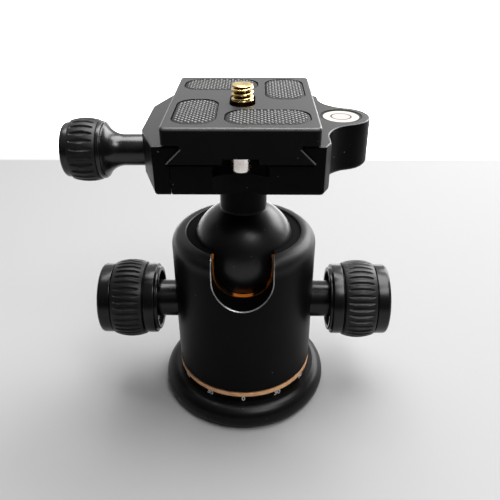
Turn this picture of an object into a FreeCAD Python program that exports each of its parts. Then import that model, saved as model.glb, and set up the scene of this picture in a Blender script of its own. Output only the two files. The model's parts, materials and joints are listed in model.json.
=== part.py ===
import FreeCAD, Part
import math
import os
from types import SimpleNamespace

import Sketcher

# Tripod ball head, about 46 mm housing and 33 mm ball, with a dovetail clamp and plate.
# Origin: centre of the base's bottom face, on the tripod socket's axis.
# +Z points up, the drop notch faces -Y, the clamp knob points to -X.

doc = FreeCAD.newDocument("ball_head")
sheet = doc.addObject("Spreadsheet::Sheet", "sizes")

# Every driving dimension in millimetres (counts are plain numbers).
driving = {
    # clearances
    "running_clearance": 0.05,
    "ball_clearance": 0.1,
    "face_gap": 0.3,
    "wedge_gap": 0.2,
    "jaw_clearance": 0.14,
    "pad_gap": 0.15,
    # base flange and scale ring
    "flange_overhang": 5.4,
    "flange_foot_inset": 1.9,
    "flange_widest_z": 3.0,
    "flange_foot_arc": 3.2,
    "flange_shoulder_inset": 3.7,
    "flange_shoulder_arc": 4.4,
    "flange_height": 7.7,
    "neck_step": 0.4,
    "neck_height": 2.2,
    "bushing_lip": 2.0,
    "scale_ring_height": 1.7,
    "scale_ring_width": 3.1,
    "scale_ring_chamfer": 0.3,
    # tripod socket and panning spindle
    "tripod_thread_radius": 3.97,
    "tripod_socket_depth": 12.0,
    "bushing_wall": 3.03,
    "spindle_wall": 2.0,
    "spindle_land": 1.25,
    "spindle_gap": 0.8,
    "brake_nose": 0.7,
    "washer_thickness": 0.6,
    "washer_inset": 1.0,
    "circlip_thickness": 1.1,
    "circlip_width": 2.5,
    "circlip_groove_depth": 0.8,
    "circlip_opening": 5.0,
    # housing
    "housing_wall": 4.8,
    "housing_floor": 8.1,
    "housing_edge_chamfer": 0.5,
    "rim_height": 6.9,
    "rim_rounding": 4.0,
    "rim_inner_rounding": 0.5,
    "rim_lip": 0.6,
    "notch_half_width": 9.1,
    "notch_chamfer": 0.35,
    # ball, liner and seat
    "ball_radius": 16.7,
    "stem_radius": 7.2,
    "stem_length": 29.6,
    "stem_root_rounding": 0.5,
    "liner_wall": 1.5,
    "liner_inset": 0.4,
    "snap_ring_thickness": 1.0,
    "snap_ring_groove": 0.6,
    "seat_radius": 13.0,
    "seat_gap": 0.2,
    "seat_flat_radius": 7.5,
    "seat_floor": 1.4,
    # lock knobs
    "lock_height": 14.0,
    "lock_drop": 2.3,
    "plunger_radius": 5.0,
    "plunger_tip_radius": 1.3,
    "plunger_socket_depth": 5.6,
    "hub_depth": 5.2,
    "hub_step": 1.2,
    "hub_spigot_radius": 3.0,
    "knob_standoff": 5.3,
    "knob_rim_length": 1.0,
    "knob_rim_step": 1.1,
    "knob_rim_wall": 1.4,
    "knob_recess_depth": 2.2,
    "knob_collar_length": 3.6,
    "knob_collar_step": 0.4,
    "knob_gap": 0.4,
    "knob_gap_step": 0.8,
    "grip_radius": 13.25,
    "grip_length": 10.2,
    "grip_bulge": 0.95,
    "grip_wall": 1.7,
    "grip_groove_width": 1.5,
    "grip_groove_depth": 0.7,
    "grip_ribs": 38,
    "cap_length": 4.2,
    "cap_step": 0.5,
    "cap_rounding": 1.4,
    "cap_lip": 1.0,
    "cap_dish_depth": 0.5,
    # clamp
    "clamp_floor": 8.5,
    "clamp_side_wall": 4.2,
    "clamp_corner_x": 1.6,
    "clamp_corner_y": 3.2,
    "split_inset": 0.8,
    "split_chamfer": 0.5,
    "clamp_edge_rounding": 1.6,
    "clamp_top_rounding": 0.5,
    "ear_reach": 5.1,
    "ear_y": 1.2,
    "ear_wall": 2.2,
    "ear_fillet": 10.0,
    "channel_half_width": 7.4,
    "channel_depth": 3.0,
    "scallop_depth": 2.4,
    "bolt_radius": 3.0,
    "bolt_reach": 14.1,
    "bolt_head_radius": 5.0,
    "bolt_head_height": 2.5,
    "bolt_socket_radius": 2.3,
    "bolt_socket_depth": 1.6,
    # dovetail
    "dovetail_half_width": 19.0,
    "dovetail_land": 0.3,
    "dovetail_rise": 3.6,
    "dovetail_lip": 0.6,
    "plate_gap": 0.8,
    # moving jaw and its screw
    "jaw_gap": 0.2,
    "jaw_thickness": 8.9,
    "jaw_flat_half": 10.5,
    "jaw_sweep": 4.7,
    "clamp_axis_height": 3.8,
    "clamp_screw_radius": 2.5,
    "clamp_screw_wall": 1.1,
    "guide_pin_radius": 1.5,
    "guide_pin_y": 15.0,
    "guide_pin_wall": 1.6,
    "guide_pin_depth": 5.5,
    "spring_wire": 0.4,
    "spring_gap": 0.15,
    "spring_bore_depth": 2.6,
    # clamp knob
    "knob_neck_radius": 4.6,
    "knob_neck_length": 7.3,
    "knob_stub_length": 2.5,
    "flare_length": 5.4,
    "flare_step": 0.3,
    "small_gap": 0.4,
    "small_gap_step": 0.7,
    "small_collar_length": 1.3,
    "small_collar_step": 0.3,
    "small_grip_radius": 9.3,
    "small_grip_length": 8.1,
    "small_grip_bulge": 0.6,
    "small_grip_wall": 1.1,
    "small_groove_width": 1.4,
    "small_groove_depth": 0.55,
    "small_grip_ribs": 25,
    "small_cap_length": 2.4,
    "small_cap_step": 0.7,
    "small_cap_rounding": 1.0,
    # quick release plate
    "plate_half_length": 25.0,
    "plate_overhang": 1.0,
    "slab_gap": 0.5,
    "slab_thickness": 4.6,
    "slab_overhang": 1.2,
    "plate_edge_rounding": 0.6,
    "plate_corner_rounding": 1.6,
    "plate_channel_half_width": 4.8,
    "plate_channel_depth": 1.5,
    "slot_y": -1.0,
    "slot_play": 0.425,
    "pad_depth": 0.8,
    "pad_proud": 0.25,
    "pad_corner": 5.0,
    "pad_margin_x": 2.1,
    "pad_margin_y": 2.9,
    "pad_long_inner_x": 4.4,
    "pad_long_inner_y": 9.6,
    "pad_tall_inner_x": 6.4,
    "pad_tall_inner_y": 0.2,
    # camera screw and stop screws
    "screw_radius": 3.175,
    "screw_relief": 0.175,
    "screw_travel": 3.0,
    "thread_lift": 0.5,
    "thread_reach": 4.7,
    "screw_tip_chamfer": 0.6,
    "screw_neck_step": 0.6,
    "screw_head_radius": 4.5,
    "screw_head_height": 3.0,
    "screw_slot_width": 1.2,
    "screw_slot_depth": 1.4,
    "screw_washer_thickness": 0.5,
    "stop_screw_margin": 3.2,
    "stop_head_radius": 2.6,
    "stop_head_reach": 2.1,
    "stop_head_rounding": 0.9,
    "stop_shank_radius": 1.5,
    "stop_shank_depth": 5.0,
    # bubble level
    "level_radius": 6.1,
    "level_depth": 5.3,
    "level_wall": 0.9,
    "level_floor": 1.0,
    "level_sink": 0.2,
    "level_window": 0.9,
    "bubble_radius": 2.3,
    "bubble_height": 0.7,
}

# Sizes that follow from the driving ones, as sheet formulas.
following = {
    # radii out from the ball
    "bearing_radius": "ball_radius + ball_clearance",
    "opening_radius": "bearing_radius + liner_wall",
    "housing_radius": "opening_radius + housing_wall",
    "cavity_radius": "seat_radius + seat_gap",
    "scale_ring_bore": "housing_radius - scale_ring_width",
    "base_neck_radius": "housing_radius - neck_step",
    "flange_radius": "housing_radius + flange_overhang",
    "flange_foot_radius": "flange_radius - flange_foot_inset",
    "flange_shoulder_radius": "flange_radius - flange_shoulder_inset",
    # heights up from the base's bottom face
    "scale_ring_z": "flange_height + neck_height",
    "boss_top_z": "scale_ring_z + scale_ring_height",
    "housing_bottom_z": "boss_top_z + face_gap",
    "housing_floor_z": "housing_bottom_z + housing_floor",
    "lock_axis_z": "housing_floor_z + lock_height",
    "seat_bottom_z": "lock_axis_z + lock_drop",
    "ball_centre_z": "seat_bottom_z + seat_floor + bearing_radius",
    "housing_top_z": "ball_centre_z + rim_height",
    "snap_ring_z": "housing_top_z - rim_lip - snap_ring_thickness",
    "clamp_bottom_z": "ball_centre_z + stem_length",
    "clamp_axis_z": "clamp_bottom_z + clamp_axis_height",
    "clamp_floor_z": "clamp_bottom_z + clamp_floor",
    "channel_floor_z": "clamp_floor_z - channel_depth",
    "plate_bottom_z": "clamp_floor_z + plate_gap",
    "dovetail_knee_z": "plate_bottom_z + dovetail_land",
    "clamp_top_z": "dovetail_knee_z + dovetail_rise + dovetail_lip",
    "plate_channel_top_z": "plate_bottom_z + plate_channel_depth",
    "slab_bottom_z": "clamp_top_z + slab_gap",
    "plate_top_z": "slab_bottom_z + slab_thickness",
    # spindle and its washers
    "bushing_radius": "tripod_thread_radius + bushing_wall",
    "spindle_radius": "bushing_radius + spindle_wall",
    "spindle_bore": "spindle_radius + running_clearance",
    "upper_washer_z": "housing_floor_z + running_clearance",
    "circlip_z": "upper_washer_z + washer_thickness",
    "spindle_shoulder_z": "circlip_z + circlip_thickness + spindle_land",
    "spindle_top_z": "seat_bottom_z - spindle_gap",
    "lower_washer_radius": "scale_ring_bore - washer_inset",
    "upper_washer_radius": "cavity_radius - seat_gap",
    "circlip_radius": "spindle_radius + circlip_width",
    # plungers and lock knobs, outward along X
    "wedge_apex_x": "seat_flat_radius - lock_drop + wedge_gap",
    "plunger_tip_x": "wedge_apex_x + plunger_tip_radius",
    "brake_radius": "plunger_tip_x - brake_nose - 2 * running_clearance",
    "plunger_bore": "plunger_radius + running_clearance",
    "hub_radius": "plunger_radius + hub_step",
    "hub_bore": "hub_radius + 2 * running_clearance",
    "hub_stop_x": "housing_radius - hub_depth",
    "plunger_end_x": "hub_stop_x - wedge_gap",
    "hub_end_x": "hub_stop_x + wedge_gap",
    "knob_inner_x": "housing_radius + knob_standoff",
    "knob_rim_x": "knob_inner_x + knob_rim_length",
    "knob_collar_x": "knob_rim_x + knob_collar_length",
    "grip_start_x": "knob_collar_x + knob_gap",
    "cap_start_x": "grip_start_x + grip_length + knob_gap",
    "grip_end_radius": "grip_radius - grip_bulge",
    "knob_collar_radius": "grip_end_radius - knob_collar_step",
    "knob_gap_radius": "knob_collar_radius - knob_gap_step",
    "knob_core_radius": "knob_gap_radius - grip_wall",
    "knob_rim_radius": "knob_collar_radius - knob_rim_step",
    "knob_recess_radius": "knob_rim_radius - knob_rim_wall",
    "cap_radius": "grip_end_radius - cap_step",
    "cap_dish_radius": "cap_radius - cap_rounding - cap_lip",
    # clamp and jaw in plan
    "dovetail_neck": "dovetail_half_width - dovetail_rise",
    "split_x": "dovetail_half_width - split_inset",
    "clamp_half_width": "dovetail_half_width + clamp_side_wall",
    "clamp_half_length": "plate_half_length - plate_overhang",
    "ear_x": "clamp_half_width + ear_reach",
    "ear_radius": "level_radius + ear_wall",
    "level_pocket_z": "clamp_top_z - level_sink - level_depth",
    "jaw_inner_x": "split_x + jaw_gap",
    "jaw_flat_x": "jaw_inner_x + jaw_thickness",
    "jaw_end_x": "jaw_flat_x - jaw_sweep",
    "clamp_screw_end_x": "channel_half_width + clamp_screw_wall",
    "guide_pin_end_x": "channel_half_width + guide_pin_wall",
    "spring_inner_radius": "clamp_screw_radius + ball_clearance",
    "spring_outer_radius": "spring_inner_radius + spring_wire",
    "spring_bore_radius": "spring_outer_radius + spring_gap",
    "bolt_end_z": "clamp_bottom_z - bolt_reach",
    # clamp knob, outward along X
    "clamp_knob_inner_x": "jaw_flat_x + jaw_gap",
    "knob_stub_end_x": "clamp_knob_inner_x - knob_stub_length",
    "flare_start_x": "clamp_knob_inner_x + knob_neck_length",
    "flare_end_x": "flare_start_x + flare_length",
    "small_collar_x": "flare_end_x + small_gap",
    "small_grip_x": "small_collar_x + small_collar_length",
    "small_cap_x": "small_grip_x + small_grip_length",
    "small_grip_end_radius": "small_grip_radius - small_grip_bulge",
    "small_collar_radius": "small_grip_end_radius - small_collar_step",
    "small_gap_radius": "small_collar_radius - small_gap_step",
    "small_core_radius": "small_gap_radius - small_grip_wall",
    "flare_radius": "small_collar_radius - flare_step",
    "small_cap_radius": "small_grip_end_radius - small_cap_step",
    # plate, camera screw and stop screws
    "plate_half_width": "dovetail_half_width + slab_overhang",
    "pad_outer_x": "plate_half_width - pad_margin_x",
    "pad_outer_y": "plate_half_length - pad_margin_y",
    "screw_shank_radius": "screw_radius - screw_relief",
    "screw_neck_radius": "screw_shank_radius - screw_neck_step",
    "screw_head_bottom_z": "slab_bottom_z - screw_head_height",
    "screw_pocket_top_z": "slab_bottom_z + screw_washer_thickness + 2 * running_clearance",
    "screw_pocket_half_width": "screw_head_radius + face_gap",
    "screw_pocket_half_length": "screw_head_radius + screw_travel + face_gap",
    "screw_top_z": "plate_top_z + thread_reach",
    "slot_half_width": "screw_radius + slot_play",
    "slot_half_length": "slot_half_width + screw_travel",
    "stop_screw_y": "plate_half_length - stop_screw_margin",
    "stop_head_bottom_z": "clamp_floor_z - stop_head_reach",
}


class Size:
    """A named size, or a sum made of them: its number, and the same thing as a sheet formula."""

    def __init__(self, value, text):
        self.value = value
        self.text = text

    def join(self, other, sign, value):
        return Size(value, "(%s %s %s)" % (self.text, sign, other.text))

    def __add__(self, other):
        other = as_size(other)
        return self.join(other, "+", self.value + other.value)

    def __sub__(self, other):
        other = as_size(other)
        return self.join(other, "-", self.value - other.value)

    def __mul__(self, other):
        other = as_size(other)
        return self.join(other, "*", self.value * other.value)

    def __truediv__(self, other):
        other = as_size(other)
        return self.join(other, "/", self.value / other.value)

    def __radd__(self, other):
        return as_size(other) + self

    def __rsub__(self, other):
        return as_size(other) - self

    def __rmul__(self, other):
        return as_size(other) * self

    def __neg__(self):
        return Size(-self.value, "(0 - %s)" % self.text)


def as_size(number):
    if isinstance(number, Size):
        return number
    return Size(float(number), repr(float(number)))


def root(size):
    return Size(math.sqrt(size.value), "sqrt(%s)" % size.text)


def smaller(first, second):
    """The smaller of two sizes, such as a rounding limited by its wall."""
    return Size(min(first.value, second.value), "min(%s; %s)" % (first.text, second.text))


def fill_sheet():
    """Writes the driving sizes as numbers and the rest as formulas, and reads them all back."""
    cells = {name: str(number) for name, number in driving.items()}
    cells.update({name: "=" + formula for name, formula in following.items()})
    for row, (name, content) in enumerate(cells.items(), start=1):
        sheet.set("A%d" % row, name)
        sheet.setAlias("B%d" % row, name)
        sheet.set("B%d" % row, content)
    doc.recompute()
    names = SimpleNamespace()
    for name in cells:
        setattr(names, name, Size(float(sheet.get(name)), "sizes." + name))
    return names


s = fill_sheet()
nodes = []


def bind(thing, prop, size):
    """Ties a property to the sheet."""
    thing.setExpression(prop, as_size(size).text)


def keep(thing, label):
    """Names a finished sub-part, which is then written out."""
    thing.Label = label
    nodes.append(thing)
    return thing


def move(thing, x=None, y=None, z=None):
    for axis, size in (("x", x), ("y", y), ("z", z)):
        if size is not None:
            bind(thing, "Placement.Base." + axis, size)


# Sketches and features

def new_body(name):
    return doc.addObject("PartDesign::Body", name)


def new_sketch(body, plane, offset=None):
    """A sketch on one of the body's own origin planes, moved along its normal by an offset."""
    sketch = body.newObject("Sketcher::SketchObject", body.Name + "_sketch")
    support = [item for item in body.Origin.OriginFeatures if item.Role == plane][0]
    sketch.AttachmentSupport = [(support, "")]
    sketch.MapMode = "FlatFace"
    if offset is not None:
        bind(sketch, "AttachmentOffset.Base.z", offset)
    return sketch


def pin_point(sketch, piece, point, u, v):
    """Holds a sketch point at two named sizes from the sketch's origin."""
    for kind, size, axis in (("DistanceX", u, -2), ("DistanceY", v, -1)):
        size = as_size(size)
        if size.value == 0.0 and "sizes" not in size.text:
            sketch.addConstraint(Sketcher.Constraint("PointOnObject", piece, point, axis))
        else:
            index = sketch.addConstraint(
                Sketcher.Constraint(kind, -1, 1, piece, point, size.value))
            bind(sketch, "Constraints[%d]" % index, size)


def arc_between(start, end, radius):
    """An arc of less than half a turn: a positive radius turns left, a negative one right."""
    side = 1.0 if radius > 0 else -1.0
    chord = end - start
    half = chord.Length / 2
    rise = math.sqrt(max(radius * radius - half * half, 0.0))
    normal = FreeCAD.Vector(-chord.y, chord.x, 0).normalize() * side
    centre = (start + end) / 2 + normal * rise
    middle = centre - normal * abs(radius)
    return Part.Arc(start, middle, end)


def add_loop(sketch, corners):
    """A closed outline. A corner is (u, v), or (u, v, radius) where an arc leads to it."""
    first = sketch.GeometryCount
    count = len(corners)
    points = []
    for corner in corners:
        points.append(FreeCAD.Vector(as_size(corner[0]).value, as_size(corner[1]).value, 0))
    ends = []
    for k, corner in enumerate(corners):
        start, end = points[k - 1], points[k]
        if len(corner) == 3:
            sketch.addGeometry(arc_between(start, end, as_size(corner[2]).value), False)
            ends.append((1, 2) if as_size(corner[2]).value > 0 else (2, 1))
        else:
            sketch.addGeometry(Part.LineSegment(start, end), False)
            ends.append((1, 2))
    for k in range(count):
        after = (k + 1) % count
        sketch.addConstraint(
            Sketcher.Constraint("Coincident", first + k, ends[k][1], first + after, ends[after][0]))
    for k, corner in enumerate(corners):
        pin_point(sketch, first + k, ends[k][1], corner[0], corner[1])
        if len(corner) == 3:
            radius = as_size(corner[2])
            size = radius if radius.value > 0 else -radius
            index = sketch.addConstraint(Sketcher.Constraint("Radius", first + k, size.value))
            bind(sketch, "Constraints[%d]" % index, size)


def add_circle(sketch, u, v, radius):
    centre = FreeCAD.Vector(as_size(u).value, as_size(v).value, 0)
    radius = as_size(radius)
    piece = sketch.addGeometry(Part.Circle(centre, FreeCAD.Vector(0, 0, 1), radius.value), False)
    pin_point(sketch, piece, 3, u, v)
    index = sketch.addConstraint(Sketcher.Constraint("Radius", piece, radius.value))
    bind(sketch, "Constraints[%d]" % index, radius)


def rounded_rectangle(u0, u1, v0, v1, corner):
    """Corners of a rectangle whose four corners are rounded alike."""
    return [(u1 - corner, v0), (u1, v0 + corner, corner), (u1, v1 - corner),
            (u1 - corner, v1, corner), (u0 + corner, v1), (u0, v1 - corner, corner),
            (u0, v0 + corner), (u0 + corner, v0, corner)]


def finish_feature(body, feature):
    body.Tip = feature
    doc.recompute()
    return feature


def revolve(body, sketch, axis):
    turned = body.newObject("PartDesign::Revolution", body.Name + "_turned")
    turned.Profile = sketch
    turned.ReferenceAxis = (sketch, [axis])
    turned.Angle = 360
    return finish_feature(body, turned)


def pad(body, sketch, length, middle=False):
    block = body.newObject("PartDesign::Pad", body.Name + "_pad")
    block.Profile = sketch
    block.Midplane = middle
    bind(block, "Length", length)
    return finish_feature(body, block)


def pocket(body, sketch, length, middle=False, backwards=False):
    """Cuts against the sketch's normal, or along it when backwards. It must remove something."""
    doc.recompute()
    before = body.Shape.Volume
    hole = body.newObject("PartDesign::Pocket", body.Name + "_pocket")
    hole.Profile = sketch
    hole.Midplane = middle
    hole.Reversed = backwards
    bind(hole, "Length", length)
    finish_feature(body, hole)
    if body.Shape.Volume > before - 1e-6:
        raise RuntimeError("a pocket in %s removes nothing" % body.Name)
    return hole


def repeat_around(body, feature, sketch, axis, count):
    ring = body.newObject("PartDesign::PolarPattern", body.Name + "_ring")
    ring.Originals = [feature]
    ring.Axis = (sketch, [axis])
    ring.Angle = 360
    bind(ring, "Occurrences", count)
    return finish_feature(body, ring)


def soften(body, kind, picked, size):
    """Rounds or chamfers the edges that a test picks from the body's shape."""
    base = body.Tip
    names = []
    for index, edge in enumerate(base.Shape.Edges, start=1):
        if picked(edge):
            names.append("Edge%d" % index)
    if not names:
        raise RuntimeError("no edge to soften on " + body.Name)
    feature = body.newObject("PartDesign::" + kind, body.Name + "_" + kind.lower())
    feature.Base = (base, names)
    bind(feature, "Radius" if kind == "Fillet" else "Size", size)
    return finish_feature(body, feature)


def turned_piece(label, corners, along_x=False):
    """A turned piece: its half section (radius, height), or (along, radius) for an X axis."""
    body = new_body(label)
    sketch = new_sketch(body, "XZ_Plane")
    add_loop(sketch, corners)
    revolve(body, sketch, "H_Axis" if along_x else "V_Axis")
    return keep(body, label)


def at_height(edge, z):
    """True for an edge that lies level at height z."""
    box = edge.BoundBox
    return abs(box.ZMin - z.value) < 1e-4 and abs(box.ZMax - z.value) < 1e-4


def sphere_reach(radius, distance):
    """Radius of a sphere's section at a distance from its centre."""
    return root(radius * radius - distance * distance)


# Base

def make_base():
    turned_piece("base_flange", [
        (s.bushing_radius, 0),
        (s.flange_foot_radius, 0),
        (s.flange_radius, s.flange_widest_z, s.flange_foot_arc),
        (s.flange_shoulder_radius, s.flange_height, s.flange_shoulder_arc),
        (s.base_neck_radius, s.flange_height),
        (s.base_neck_radius, s.scale_ring_z),
        (s.scale_ring_bore, s.scale_ring_z),
        (s.scale_ring_bore, s.boss_top_z),
        (s.spindle_radius, s.boss_top_z),
        (s.spindle_radius, s.bushing_lip),
        (s.bushing_radius, s.bushing_lip),
    ])
    turned_piece("scale_ring", [
        (s.scale_ring_bore, s.scale_ring_z),
        (s.housing_radius - s.scale_ring_chamfer, s.scale_ring_z),
        (s.housing_radius, s.scale_ring_z + s.scale_ring_chamfer),
        (s.housing_radius, s.boss_top_z),
        (s.scale_ring_bore, s.boss_top_z),
    ])
    turned_piece("tripod_bushing", [
        (s.tripod_thread_radius, 0),
        (s.bushing_radius, 0),
        (s.bushing_radius, s.tripod_socket_depth),
        (s.tripod_thread_radius, s.tripod_socket_depth),
    ])


def make_spindle():
    """Steel spindle pressed into the base: it carries the bushing, the circlip and the brake."""
    groove = s.spindle_radius - s.circlip_groove_depth
    turned_piece("pan_spindle", [
        (0, s.tripod_socket_depth),
        (s.bushing_radius, s.tripod_socket_depth),
        (s.bushing_radius, s.bushing_lip),
        (s.spindle_radius, s.bushing_lip),
        (s.spindle_radius, s.circlip_z),
        (groove, s.circlip_z),
        (groove, s.circlip_z + s.circlip_thickness),
        (s.spindle_radius, s.circlip_z + s.circlip_thickness),
        (s.spindle_radius, s.spindle_shoulder_z),
        (s.brake_radius, s.spindle_shoulder_z),
        (s.brake_radius, s.spindle_top_z),
        (0, s.spindle_top_z),
    ])
    turned_piece("lower_slip_washer", [
        (s.spindle_bore, s.boss_top_z),
        (s.lower_washer_radius, s.boss_top_z),
        (s.lower_washer_radius, s.boss_top_z + s.washer_thickness),
        (s.spindle_bore, s.boss_top_z + s.washer_thickness),
    ])
    turned_piece("upper_slip_washer", [
        (s.spindle_bore, s.upper_washer_z),
        (s.upper_washer_radius, s.upper_washer_z),
        (s.upper_washer_radius, s.circlip_z),
        (s.spindle_bore, s.circlip_z),
    ])
    clip = new_body("spindle_circlip")
    section = new_sketch(clip, "XZ_Plane")
    add_loop(section, [
        (groove, s.circlip_z),
        (s.circlip_radius, s.circlip_z),
        (s.circlip_radius, s.circlip_z + s.circlip_thickness),
        (groove, s.circlip_z + s.circlip_thickness),
    ])
    revolve(clip, section, "V_Axis")
    opening = new_sketch(clip, "XZ_Plane")
    half = s.circlip_opening / 2
    add_loop(opening, [(-half, s.circlip_z - 1), (half, s.circlip_z - 1),
                       (half, s.circlip_z + s.circlip_thickness + 1),
                       (-half, s.circlip_z + s.circlip_thickness + 1)])
    pocket(clip, opening, s.circlip_radius + 1)
    keep(clip, "spindle_circlip")


# Housing with its liner and snap ring

def cut_notch(body, half_width, reach):
    """Drop notch: a round bottom at the ball's centre height and straight sides to the top."""
    outline = new_sketch(body, "XZ_Plane")
    add_loop(outline, [(-half_width, s.housing_top_z + 1), (-half_width, s.ball_centre_z),
                       (0, s.ball_centre_z - half_width, half_width),
                       (half_width, s.ball_centre_z, half_width),
                       (half_width, s.housing_top_z + 1)])
    pocket(body, outline, reach, backwards=True)


def make_housing():
    recess_top = s.boss_top_z + s.washer_thickness + s.running_clearance
    recess_radius = s.lower_washer_radius + s.face_gap
    groove_radius = s.opening_radius + s.snap_ring_groove
    groove_top = s.snap_ring_z + s.snap_ring_thickness
    inner_rounding = smaller(s.rim_inner_rounding, s.rim_lip - 0.05)
    lip = s.opening_radius + inner_rounding
    rounding = smaller(s.rim_rounding, s.housing_wall - inner_rounding - 0.2)
    liner_foot_z = s.ball_centre_z - sphere_reach(s.opening_radius, s.cavity_radius)
    body = new_body("housing")
    section = new_sketch(body, "XZ_Plane")
    add_loop(section, [
        (s.spindle_bore, recess_top),
        (recess_radius, recess_top),
        (recess_radius, s.housing_bottom_z),
        (s.housing_radius - s.housing_edge_chamfer, s.housing_bottom_z),
        (s.housing_radius, s.housing_bottom_z + s.housing_edge_chamfer),
        (s.housing_radius, s.housing_top_z - rounding),
        (s.housing_radius - rounding, s.housing_top_z, rounding),
        (lip, s.housing_top_z),
        (s.opening_radius, s.housing_top_z - inner_rounding, inner_rounding),
        (s.opening_radius, groove_top),
        (groove_radius, groove_top),
        (groove_radius, s.snap_ring_z),
        (s.opening_radius, s.snap_ring_z),
        (s.opening_radius, s.ball_centre_z),
        (s.cavity_radius, liner_foot_z, -s.opening_radius),
        (s.cavity_radius, s.housing_floor_z),
        (s.spindle_bore, s.housing_floor_z),
    ])
    revolve(body, section, "V_Axis")
    cut_notch(body, s.notch_half_width, s.housing_radius + 1)
    shafts = new_sketch(body, "YZ_Plane")
    add_circle(shafts, 0, s.lock_axis_z, s.plunger_bore)
    pocket(body, shafts, 2 * s.housing_radius + 2, middle=True)
    for side in (1, -1):
        hub = new_sketch(body, "YZ_Plane", side * s.hub_stop_x)
        add_circle(hub, 0, s.lock_axis_z, s.hub_bore)
        pocket(body, hub, s.housing_radius, backwards=side > 0)

    def on_notch_mouth(edge):
        box = edge.BoundBox
        middle = edge.valueAt((edge.FirstParameter + edge.LastParameter) / 2)
        on_wall = abs(math.hypot(middle.x, middle.y) - s.housing_radius.value) < 1e-3
        inside = abs(middle.x) < s.notch_half_width.value + 1e-3
        return on_wall and inside and middle.y < 0 and box.ZMax > s.lock_axis_z.value + 8
    soften(body, "Chamfer", on_notch_mouth, s.notch_chamfer)
    keep(body, "housing")


def make_liner():
    """Low friction liner: a shell of even wall under the ball's middle, cut by the same notch."""
    top = sphere_reach(s.bearing_radius, s.snap_ring_z - s.ball_centre_z)
    foot_z = s.ball_centre_z - sphere_reach(s.bearing_radius, s.cavity_radius)
    outer_foot_z = s.ball_centre_z - sphere_reach(s.opening_radius, s.cavity_radius)
    body = new_body("ball_liner")
    section = new_sketch(body, "XZ_Plane")
    add_loop(section, [
        (s.cavity_radius, outer_foot_z),
        (s.opening_radius, s.ball_centre_z, s.opening_radius),
        (s.opening_radius, s.snap_ring_z),
        (top, s.snap_ring_z),
        (s.cavity_radius, foot_z, -s.bearing_radius),
    ])
    revolve(body, section, "V_Axis")
    cut_notch(body, s.notch_half_width - s.liner_inset, s.housing_radius + 1)
    keep(body, "ball_liner")


def make_snap_ring():
    groove_radius = s.opening_radius + s.snap_ring_groove
    upper_z = s.snap_ring_z + s.snap_ring_thickness
    low = sphere_reach(s.bearing_radius, s.snap_ring_z - s.ball_centre_z) + s.running_clearance
    high = sphere_reach(s.bearing_radius, upper_z - s.ball_centre_z) + s.running_clearance
    half = s.notch_half_width + s.face_gap
    body = new_body("liner_snap_ring")
    section = new_sketch(body, "XZ_Plane")
    add_loop(section, [(low, s.snap_ring_z), (groove_radius, s.snap_ring_z),
                       (groove_radius, upper_z), (high, upper_z)])
    revolve(body, section, "V_Axis")
    opening = new_sketch(body, "XZ_Plane")
    add_loop(opening, [(-half, s.snap_ring_z - 1), (half, s.snap_ring_z - 1),
                       (half, upper_z + 1), (-half, upper_z + 1)])
    pocket(body, opening, s.housing_radius + 1, backwards=True)
    keep(body, "liner_snap_ring")


# Ball and its seat

def make_seat():
    """Cup under the ball: the lock wedge lifts it by the cone on its underside."""
    rim_z = s.ball_centre_z - sphere_reach(s.bearing_radius, s.seat_radius)
    cone_z = s.seat_bottom_z + s.seat_radius - s.seat_flat_radius
    turned_piece("ball_seat", [
        (0, s.seat_bottom_z),
        (s.seat_flat_radius, s.seat_bottom_z),
        (s.seat_radius, cone_z),
        (s.seat_radius, rim_z),
        (0, s.ball_centre_z - s.bearing_radius, -s.bearing_radius),
    ])


def make_ball():
    root_z = s.ball_centre_z + sphere_reach(s.ball_radius, s.stem_radius)
    top_z = s.clamp_bottom_z - s.running_clearance
    hole = s.bolt_radius + s.running_clearance
    body = turned_piece("ball_stem", [
        (0, s.ball_centre_z - s.ball_radius),
        (s.stem_radius, root_z, s.ball_radius),
        (s.stem_radius, top_z),
        (hole, top_z),
        (hole, s.bolt_end_z - 1),
        (0, s.bolt_end_z - 1),
    ])
    soften(body, "Fillet", lambda edge: at_height(edge, root_z), s.stem_root_rounding)


# Lock knobs: the ball lock at -X and the panning lock at +X are mirror images

def make_plunger(label, side, nose_x):
    """Plunger with a 45 degree cone. The panning brake has a nose that reaches the spindle."""
    shoulder_x = s.wedge_apex_x + s.plunger_radius
    hole = s.hub_spigot_radius + s.running_clearance
    hole_x = s.plunger_end_x - s.plunger_socket_depth
    corners = [(s.plunger_tip_x, 0), (s.plunger_tip_x, s.plunger_tip_radius)]
    if nose_x is not None:
        corners = [(nose_x, 0), (nose_x, s.plunger_tip_radius),
                   (s.plunger_tip_x, s.plunger_tip_radius)]
    corners += [
        (shoulder_x, s.plunger_radius),
        (s.plunger_end_x, s.plunger_radius),
        (s.plunger_end_x, hole),
        (hole_x, hole),
        (hole_x, 0),
    ]
    body = turned_piece(label, [(side * x, radius) for x, radius in corners], along_x=True)
    move(body, z=s.lock_axis_z)


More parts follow.
